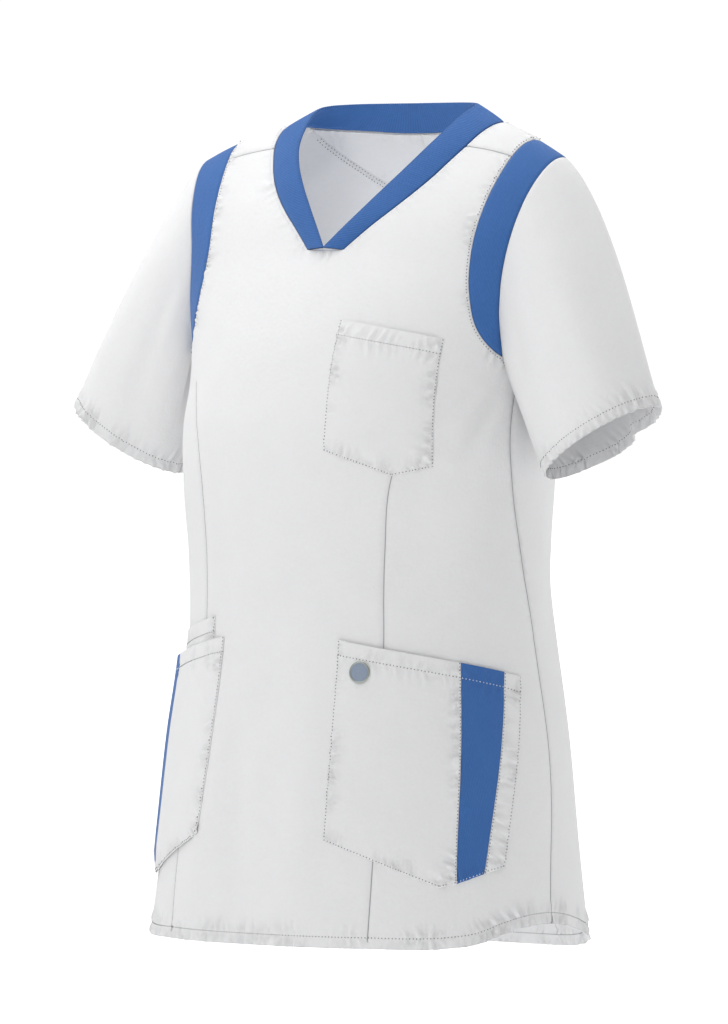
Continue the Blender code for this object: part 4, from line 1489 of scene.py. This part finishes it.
# %% Making the neck band
def make_band():
    at = np.linspace(V_CORNER, BACK_CENTRE, 1500)
    way = np.concatenate([[0], np.cumsum(np.linalg.norm(np.diff(band_free_edge(at), axis=0), axis=1))])
    ribs = int(round(way[-1] / RIB_PITCH))
    even = np.linspace(0, way[-1], ribs * RIB_STEPS + 1)
    at = np.interp(even, way, at)
    low, free = body_point(neck_edge(at)), band_free_edge(at)
    low_ways = body_way(neck_edge(at))
    by_column = np.gradient((low + free) / 2, axis=0)
    by_column[-1, 1:] = 0.0
    ways = unit(np.cross(by_column, free - low))
    half = band_rows(low, free, low_ways, ways)
    grid = np.concatenate([half, mirrored(half[:, -2::-1])], axis=1)
    rows, columns = grid.shape[:2]
    faces = band_faces(np.arange(rows * columns).reshape(rows, columns))
    # Painted shade in the band's mark: along its seam row, at the top of its outer side where it rolls over, and on
    # its cut ends.
    edge_shade = np.zeros((rows, columns))
    edge_shade[0] = 0.9
    edge_shade[BAND_ACROSS] = 0.25
    edge_shade[:, [0, -1]] = 0.8
    along = np.concatenate([even, 2 * way[-1] - even[-2::-1]])
    up = np.arange(rows)[:, None] * BAND_ROW_STEP
    flat = np.stack(np.broadcast_arrays(along[None], up), axis=-1).reshape(-1, 2)
    width = np.linalg.norm(free - low, axis=1)
    print("neck_rib faces:", len(faces), "length:", round(2 * float(way[-1]), 3))
    print("neck_rib width:", width.min().round(4), "to", width.max().round(4))
    return new_piece("neck_rib", grid.reshape(-1, 3), faces, blue_rib, flat, edge_shade.ravel())


neck_rib = make_band()

# %% [markdown]
# ## Facing inside the back
# A half-moon of the same white cloth lines the back of the neck. Two rows of stitches hold its lower edge, and they
# are the only things that show there, inside the collar.

# %% The back neck facing
FACING_DEPTH = -0.0016
FACING_WALL = 0.0008
FACING_START = 11.4
FACING_INSET = 0.0016
FACING_ROWS = (0.0014, 0.0048)


def facing_edges():
    top = inset(evenly(neck_edge, FACING_START, BACK_CENTRE, EDGE_STEP), -FACING_INSET)
    bottom = evenly(facing_bottom, 0, 1, EDGE_STEP)[::-1]
    return [top, between(top[-1], bottom[0], 60), bottom, between(bottom[-1], top[0], 9)]


make_panel("neck_lining", facing_edges(), (), BACK_SEAMS, lift=FACING_DEPTH, thickness=FACING_WALL)
FACING_INSIDE = FACING_DEPTH - FACING_WALL - 0.0001
for side in (1, -1):
    for distance in FACING_ROWS:
        sew_inside("neck_lining", inset(FACING_BOTTOM, -distance), side, FACING_INSIDE, BACK_SEAMS)
print("facing rows sewn:", 2 * len(FACING_ROWS))

# %% [markdown]
# ## Pockets
# Each pocket is a flat piece with a slight belly, sewn down at its sides and bottom and open at the top. Its
# shape is made from the front's own surface, moved out, so it follows every fold beneath it. A pocket's corners
# are given as a lean and a height. The lower pockets are three pieces side by side: white, a blue strip, white.

# %% Pocket outlines and stitches
TOP_HEM = 0.013
EDGE_STITCH = 0.0012
SEAM_REACH = 0.2


def straight(start, end):
    """A curve between two corners, each a lean in degrees and a height."""

    def curve(at):
        at = np.asarray(at, dtype=float)
        lean = np.radians(start[0] + (end[0] - start[0]) * at)
        return np.stack([lean, turn_at(lean, start[1] + (end[1] - start[1]) * at)], axis=-1)

    return curve


def closed_gap(edges, left, right):
    """The same top and bottom edges with their side ends moved, so that neighbours almost touch."""
    top, bottom = ([list(corner) for corner in edge] for edge in edges)
    for edge in (top, bottom):
        edge[0][0] += left
        edge[-1][0] += right
    return top, bottom


def pocket_corners(edges):
    top, bottom = edges
    return [*top, *bottom[::-1]]


def pocket_outline(edges):
    corners = pocket_corners(edges)
    return [evenly(straight(one, two), 0, 1, LINE_STEP) for one, two in zip(corners, corners[1:] + corners[:1])]


def across_pocket(edges, below):
    """A line from side to side, a distance below the top edge."""
    top, bottom = edges
    ends = []
    for high, low in ((top[0], bottom[0]), (top[-1], bottom[-1])):
        share = below / (high[1] - low[1])
        ends.append([high[axis] + (low[axis] - high[axis]) * share for axis in (0, 1)])
    if len(top) == 3:
        middle = [top[1][0], top[1][1] - below]
        left = evenly(straight(ends[0], middle), 0, 1, THREAD_STEP)
        right = evenly(straight(middle, ends[1]), 0, 1, THREAD_STEP)
        return np.concatenate([left, right[1:]])
    return evenly(straight(*ends), 0, 1, THREAD_STEP)


def side_lines(edges, sides):
    """The edges that are sewn down: the left side, the right side and the bottom, as asked."""
    top, bottom = edges
    ends = list(zip(bottom[::-1], bottom[::-1][1:]))
    if "right" in sides:
        ends.insert(0, (top[-1], bottom[-1]))
    if "left" in sides:
        ends.append((bottom[0], top[0]))
    return [evenly(straight(one, two), 0, 1, THREAD_STEP) for one, two in ends]


CHEST_LINES = side_lines(CHEST_POCKET, ("left", "right"))
print("steps on the chest pocket's sewn edges:", [len(line) for line in CHEST_LINES])


# %% Making one pocket piece
NEAR_LIFT = 0.00105
POCKET_WALL = 0.0008
BELLY_FADE = 0.011
GAPE_PLACE = math.radians(67)
GAPE_WIDTH = math.radians(8.5)
OVER_REAR = (math.radians(23), math.radians(31))
TOP_PUCKERS = {"pucker": 0.0006, "reach": 0.010, "pitch": 0.009}
SIDE_PUCKERS = {"pucker": 0.0009, "reach": 0.012, "pitch": 0.0095}
THREAD_DIP = {"dip": 0.0001, "width": 0.0010, "shade": 0.0}


def make_pocket(name, edges, side, finish, thread, sides, seed, belly, whole=None, gape=0.0, above=0.0):
    """A pocket piece. The whole is the pocket it is part of. Gape and above lift its side and its rear part."""
    outline = pocket_outline(edges)
    whole_outline = pocket_outline(whole or edges)
    down = whole_outline[len((whole or edges)[0]) - 1 :]

    def shown(rows):
        points = body_point(rows)
        return points if side > 0 else mirrored(points)

    stitched = [inset(line, -EDGE_STITCH) for line in side_lines(edges, sides)]
    top_line = across_pocket(edges, TOP_HEM)
    seams = [seam(shown(top_line), seed=seed, **THREAD_DIP, **TOP_PUCKERS)]
    for count, line in enumerate(side_lines(edges, sides)):
        seams.append(seam(shown(line), 0.0003, 0.0010, 0.0, seed=seed + 7 * count, **SIDE_PUCKERS))
    seams += [seam(shown(line), **THREAD_DIP) for line in stitched]

    def loft(base):
        """A low belly that fades to the sewn edges, with the open top standing off a little."""
        push = np.full(len(base), belly)
        for line in down:
            close, distance, _ = near_line(base, shown(line), 0.03)
            push[close] = np.minimum(push[close], belly * (1 - groove(distance, BELLY_FADE)))
        angle = np.arctan2(np.abs(base[:, 0]), -base[:, 1])
        over = np.clip((angle - OVER_REAR[0]) / (OVER_REAR[1] - OVER_REAR[0]), 0, 1)
        push += above * over * over * (3 - 2 * over)
        return push + gape * np.exp(-(((angle - GAPE_PLACE) / GAPE_WIDTH) ** 2))

    make_patch(name, outline, side, NEAR_LIFT, seams, finish, POCKET_WALL, [top_line], loft)
    for line in (*stitched, top_line):
        rows = line[1:-1]
        points, ways = lay_line(rows, side, NEAR_LIFT, seams)
        STITCH_LINES.append((name, points + ways * loft(shown(rows))[:, None], ways, thread))


print("pocket wall:", POCKET_WALL * 1000, "mm")


# %% The chest pocket and the lower pockets
ABOVE_REAR = 0.0012
RIGHT_INWARD = 2.6
RIGHT_GAPE = 0.0075
BELLIES = {"chest": 0.0010, "rear": 0.0003, "lower": 0.0012}
BOTH_SIDES = ("left", "right")
LOWER_PARTS = (POCKET_MAIN, POCKET_STRIPE, POCKET_EDGE)
make_pocket("chest_pocket_cloth", CHEST_POCKET, 1, white_twill, "shaded", BOTH_SIDES, 101, BELLIES["chest"])
make_pocket("rear_pocket_cloth", REAR_POCKET, -1, white_twill, "shaded", BOTH_SIDES, 111, BELLIES["rear"])
WHOLE_POCKET = tuple([*main, stripe[1], edge[1]] for main, stripe, edge in zip(*LOWER_PARTS))
for word, side, inward, gape, above in (
    ("left", 1, 0.0, 0.0, 0.0),
    ("right", -1, RIGHT_INWARD, RIGHT_GAPE, ABOVE_REAR),
):
    whole = closed_gap(WHOLE_POCKET, inward, 0)
    main = closed_gap(POCKET_MAIN, inward, SEAM_REACH)
    stripe = closed_gap(POCKET_STRIPE, -SEAM_REACH, SEAM_REACH)
    strip = closed_gap(POCKET_EDGE, -SEAM_REACH, 0)
    for part, edges, finish, thread, sides, seed in (
        ("main", main, white_twill, "shaded", BOTH_SIDES if side > 0 else ("left",), 121),
        ("stripe", stripe, blue_twill, "white", (), 131),
        ("edge", strip, white_twill, "shaded", BOTH_SIDES if side > 0 else ("right",), 141),
    ):
        name = f"pocket_{part}_cloth_{word}"
        seed += 5 * (side < 0)
        make_pocket(name, edges, side, finish, thread, sides, seed, BELLIES["lower"], whole, gape, above)

# %% [markdown]
# ## Badge
# A small plain oval badge sits near the left pocket's upper corner. It is bare: a low dome inside a raised rim.

# %% The badge
BADGE_LIFT = NEAR_LIFT + 0.0018
BADGE_RINGS = (
    (0.35, 0.00078),
    (0.62, 0.0007),
    (0.74, 0.00055),
    (0.80, 0.0005),
    (0.84, 0.0009),
    (0.90, 0.0012),
    (0.96, 0.0010),
    (1.0, 0.0004),
    (1.0, 0.0),
)
BADGE_STEPS = 64
BADGE_SPLIT = 4


def badge_rings():
    """Rings round the badge's middle, each a share of its size wide and a small rise above the pocket."""
    lean, height = math.radians(BADGE_PLACE[0]), BADGE_PLACE[1]
    half = float(section(np.array(math.pi / 2), height)[0])
    turn = np.linspace(0, 2 * math.pi, BADGE_STEPS + 1)[:-1]
    rings = []
    for share, rise in BADGE_RINGS:
        leans = lean + share * BADGE_HALF_WIDTH * np.cos(turn) / (half * math.cos(lean))
        turns = turn_at(leans, height + share * BADGE_HALF_HEIGHT * np.sin(turn))
        places = np.stack([leans, turns], axis=-1)
        rings.append(body_point(places) + body_way(places) * (BADGE_LIFT + rise))
    return rings


def ring_piece(name, rings, finish, hollow):
    """A piece from rings. Unless it is hollow, its first and last rings are closed round their middles."""
    points = np.concatenate(rings)
    faces = []
    index = np.arange(len(points)).reshape(len(rings), BADGE_STEPS)
    for one, two in zip(index[:-1], index[1:]):
        for step in range(BADGE_STEPS):
            after = (step + 1) % BADGE_STEPS
            faces.append((int(one[step]), int(two[step]), int(two[after]), int(one[after])))
    if not hollow:
        middle = len(points)
        points = np.concatenate([points, rings[0].mean(axis=0)[None], rings[-1].mean(axis=0)[None]])
        for step in range(BADGE_STEPS):
            after = (step + 1) % BADGE_STEPS
            faces.append((middle, int(index[0][step]), int(index[0][after])))
            faces.append((middle + 1, int(index[-1][after]), int(index[-1][step])))
    print(name, "faces:", len(faces))
    return new_piece(name, points, faces, finish)


BADGE_LAID = badge_rings()
BACK_RING = BADGE_LAID[-1] * 0.8 + BADGE_LAID[-1].mean(axis=0) * 0.2
badge_plate = ring_piece("badge_plate", [*BADGE_LAID[: BADGE_SPLIT + 1], BACK_RING], badge_face, False)
badge_edge = ring_piece("badge_edge", [BACK_RING, *BADGE_LAID[BADGE_SPLIT:], BACK_RING], badge_rim, True)

# %% [markdown]
# ## Stitches
# A stitch is a short bead of thread. There are thousands, all alike, so a Geometry Nodes tree sews them. It turns
# the remembered lines into curves, steps along them at the stitch pitch, and puts one bead on each step, turned
# along the line and lying flat on the cloth. Each bead is a little longer or shorter than the next. The thread
# is dark grey on the white panels, as painted shade for the needle holes of stitches sunk into the cloth, and
# white on the blue strips and round the neck.

# %% The sewing tree
STITCH_PITCH = 0.0030
STITCH_LENGTH = 0.0012
STITCH_WIDTH = 0.0010
UNEVEN = (0.82, 1.14)


def sewing_tree():
    """Input sockets are Lines, Pitch, Length, Width, Seed and Thread."""
    tree = bpy.data.node_groups.new("sewing", "GeometryNodeTree")
    face = tree.interface
    face.new_socket("Lines", in_out="INPUT", socket_type="NodeSocketGeometry")
    for name in ("Pitch", "Length", "Width"):
        face.new_socket(name, in_out="INPUT", socket_type="NodeSocketFloat")
    face.new_socket("Seed", in_out="INPUT", socket_type="NodeSocketInt")
    face.new_socket("Thread", in_out="INPUT", socket_type="NodeSocketMaterial")
    face.new_socket("Stitches", in_out="OUTPUT", socket_type="NodeSocketGeometry")

    add = Nodes(tree).node
    given = add("NodeGroupInput").outputs
    curve = add("GeometryNodeMeshToCurve", Mesh=given["Lines"])
    by_length = {"mode": "LENGTH"}
    steps = add("GeometryNodeResampleCurve", by_length, Curve=curve.outputs["Curve"], Length=given["Pitch"])
    way = add("GeometryNodeInputNamedAttribute", {"data_type": "FLOAT_VECTOR"}, Name="way")
    tangent = add("GeometryNodeInputTangent")
    turn = add(
        "FunctionNodeAxesToRotation",
        {"primary_axis": "Z", "secondary_axis": "X"},
        Primary_Axis=way.outputs["Attribute"],
        Secondary_Axis=tangent.outputs["Tangent"],
    )
    uneven = add("FunctionNodeRandomValue", {"data_type": "FLOAT"}, Seed=given["Seed"])
    uneven.inputs[2].default_value, uneven.inputs[3].default_value = UNEVEN
    length = Value(tree, given["Length"]) * Value(tree, uneven.outputs[1])
    size = add("ShaderNodeCombineXYZ", X=length, Y=given["Width"], Z=given["Width"])
    bead = add("GeometryNodeMeshUVSphere", Segments=6, Rings=5, Radius=0.5)
    placed = add(
        "GeometryNodeInstanceOnPoints",
        Points=steps.outputs["Curve"],
        Instance=bead.outputs["Mesh"],
        Rotation=turn.outputs["Rotation"],
        Scale=size.outputs["Vector"],
    )
    real = add("GeometryNodeRealizeInstances", Geometry=placed.outputs["Instances"])
    soft = add("GeometryNodeSetShadeSmooth", Geometry=real.outputs["Geometry"])
    painted = add("GeometryNodeSetMaterial", Geometry=soft.outputs["Geometry"], Material=given["Thread"])
    add("NodeGroupOutput", Stitches=painted.outputs["Geometry"])
    return tree


SEWING = sewing_tree()
print("sewing inputs:", [item.name for item in SEWING.interface.items_tree if item.in_out == "INPUT"])


# %% Sewing the remembered lines
THREADS = {"shaded": thread_shaded, "white": thread_white}


def line_mesh(name, lines):
    points = np.concatenate([line[0] for line in lines])
    ways = np.concatenate([line[1] for line in lines])
    edges, start = [], 0
    for line, _ in lines:
        edges += [(start + step, start + step + 1) for step in range(len(line) - 1)]
        start += len(line)
    mesh = bpy.data.meshes.new(name)
    mesh.from_pydata(points.tolist(), edges, [])
    attribute = mesh.attributes.new("way", "FLOAT_VECTOR", "POINT")
    attribute.data.foreach_set("vector", unit(ways).ravel())
    return mesh


def sew_lines(name, lines, thread, seed):
    piece = bpy.data.objects.new(name, line_mesh(name, lines))
    bpy.context.scene.collection.objects.link(piece)
    sewing = piece.modifiers.new("sewing", "NODES")
    sewing.node_group = SEWING
    sizes = {"Pitch": STITCH_PITCH, "Length": STITCH_LENGTH, "Width": STITCH_WIDTH}
    sizes.update(Seed=seed, Thread=THREADS[thread])
    for item in SEWING.interface.items_tree:
        if item.in_out == "INPUT" and item.name in sizes:
            sewing[item.identifier] = sizes[item.name]
    depsgraph = bpy.context.evaluated_depsgraph_get()
    depsgraph.update()
    made = bpy.data.meshes.new_from_object(piece.evaluated_get(depsgraph))
    made.name = name
    piece.modifiers.remove(sewing)
    piece.data = made
    return piece


stitches = {}
groups = {}
for carrier, points, ways, thread in STITCH_LINES:
    groups.setdefault((carrier, thread), []).append((points, ways))
for count, ((carrier, thread), lines) in enumerate(sorted(groups.items())):
    rows = sew_lines(f"stitches_{carrier}_{thread}", lines, thread, count + 1)
    stitches.setdefault(carrier, []).append(rows)
    print(rows.name, "faces:", len(rows.data.polygons))

# %% [markdown]
# ## Room and light
# The photograph has a plain white ground and even light. Wide soft lamps stand high at the left, in front and
# behind, and the bright room fills the shadows. The camera sees the floor and the room as pure white, whatever
# light they give. A small lamp inside the tunic lights the lining, as the light that comes through thin cloth does.

# %% Floor
FLOOR_HEIGHT = -1.05
FLOOR_REACH = 30.0
FLOOR_GLOW = 0.46


def make_floor():
    corners = np.array([(-1, -1, 0), (1, -1, 0), (1, 1, 0), (-1, 1, 0)]) * FLOOR_REACH
    finish = Finish("floor_white", (0.9, 0.9, 0.9), 0.9)
    finish.put("Emission Strength", 1.0)
    seen = finish.out(finish.node("ShaderNodeLightPath"), "Is Camera Ray")
    glow = finish.mix(seen, (FLOOR_GLOW, FLOOR_GLOW, FLOOR_GLOW, 1.0), (1.0, 1.0, 1.0, 1.0))
    finish.put("Emission Color", glow)
    corners[:, 2] = FLOOR_HEIGHT
    new_piece("floor", corners, [(0, 1, 2, 3)], finish.material)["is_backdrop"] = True


make_floor()
print("floor height:", FLOOR_HEIGHT, "m")

# %% Lights
LAMP_COLUMNS = ("name", "azimuth", "elevation", "power")
LAMPS = (
    ("top_left", -60, 72, 14),
    ("front", 0, 45, 13),
    ("behind", 150, 45, 17),
    ("left", -90, 55, 15),
)
LAMP_DISTANCE = 2.2
LAMP_SIZE = 1.6
ROOM_LIGHT = 0.41
ROOM_SEEN = 1.05


def add_lamp(name, place, turn, size, power):
    """A round lamp at a place, turned from shining straight down."""
    data = bpy.data.lights.new(name, "AREA")
    data.shape = "DISK"
    data.size = size
    data.energy = power
    lamp = bpy.data.objects.new(name, data)
    lamp.location = place
    lamp.rotation_euler = turn.to_euler()
    bpy.context.scene.collection.objects.link(lamp)


def fill_room(brightness, seen):
    """The room's light: an even glow, and pure white where the camera sees past the garment."""
    world = bpy.data.worlds.new("room")
    world.use_nodes = True
    nodes = Nodes(world.node_tree)
    glow = nodes.tree.nodes["Background"]
    feed(nodes.tree, glow.inputs["Color"], (1.0, 1.0, 1.0, 1.0))
    share = nodes.out(nodes.node("ShaderNodeLightPath"), "Is Camera Ray")
    feed(nodes.tree, glow.inputs["Strength"], share * (seen - brightness) + brightness)
    bpy.context.scene.world = world


for row in LAMPS:
    lamp = dict(zip(LAMP_COLUMNS, row))
    way = direction(lamp["azimuth"], lamp["elevation"])
    place, turn = VIEW_CENTRE + LAMP_DISTANCE * way, way.to_track_quat("Z", "Y")
    add_lamp(lamp["name"], place, turn, LAMP_SIZE, lamp["power"])
fill_room(ROOM_LIGHT, ROOM_SEEN)

INNER_LAMP = Vector((0.0, -0.02, -0.26))
INNER_AIM = Vector((0.0, 0.05, -0.06))
INNER_TURN = (INNER_AIM - INNER_LAMP).to_track_quat("-Z", "Y")
INNER_SIZE = 0.14
INNER_POWER = 0.21
add_lamp("inner_fill", INNER_LAMP, INNER_TURN, INNER_SIZE, INNER_POWER)
bpy.context.scene.view_settings.view_transform = "Standard"

# %% [markdown]
# ## Ties to the frame
# Every piece rides on the frame's one body, and the solids that the cloth, the neck band and the badge replace are
# hidden. A table lists each sheet of cloth with its solid, its finish, the size it was cut to and how it is held;
# only the solid is used.

# %% Attaching the pieces to the body and hiding the solids
CUTS = {
    "tunic_front": ("front", "white_twill", (0.60, 0.73), "hung"),
    "tunic_back": ("back", "white_twill", (0.60, 0.76), "hung"),
    "insert_left": ("shoulder_insert_left", "blue_twill", (0.075, 0.38), "hung"),
    "insert_right": ("shoulder_insert_right", "blue_twill", (0.075, 0.38), "hung"),
    "sleeve_cloth_left": ("sleeve_left", "white_twill", (0.42, 0.25), "hung"),
    "sleeve_cloth_right": ("sleeve_right", "white_twill", (0.42, 0.25), "hung"),
    "neck_lining": ("back_neck_facing", "white_twill", (0.17, 0.09), "hung"),
    "chest_pocket_cloth": ("chest_pocket", "white_twill", (0.115, 0.135), "laid"),
    "rear_pocket_cloth": ("rear_pocket_right", "white_twill", (0.15, 0.20), "laid"),
}
for word in ("left", "right"):
    CUTS[f"pocket_main_cloth_{word}"] = (f"pocket_{word}", "white_twill", (0.125, 0.20), "laid")
    CUTS[f"pocket_stripe_cloth_{word}"] = (f"pocket_stripe_{word}", "blue_twill", (0.045, 0.19), "laid")
    CUTS[f"pocket_edge_cloth_{word}"] = (f"pocket_edge_{word}", "white_twill", (0.026, 0.180), "laid")


for name, (node, slot, flat, held) in CUTS.items():
    piece = bpy.data.objects[name]
    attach(piece, "root")
    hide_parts(node)
for piece in sum(stitches.values(), []):
    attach(piece, "root")
for piece, slot in ((neck_rib, "blue_rib"), (badge_plate, "badge_grey"), (badge_edge, "badge_grey")):
    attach(piece, "root")
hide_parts("neck_band")
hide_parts("badge")

# %% Sizes and the end
total = 0
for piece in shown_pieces():
    piece.data.calc_loop_triangles()
    total += len(piece.data.loop_triangles)
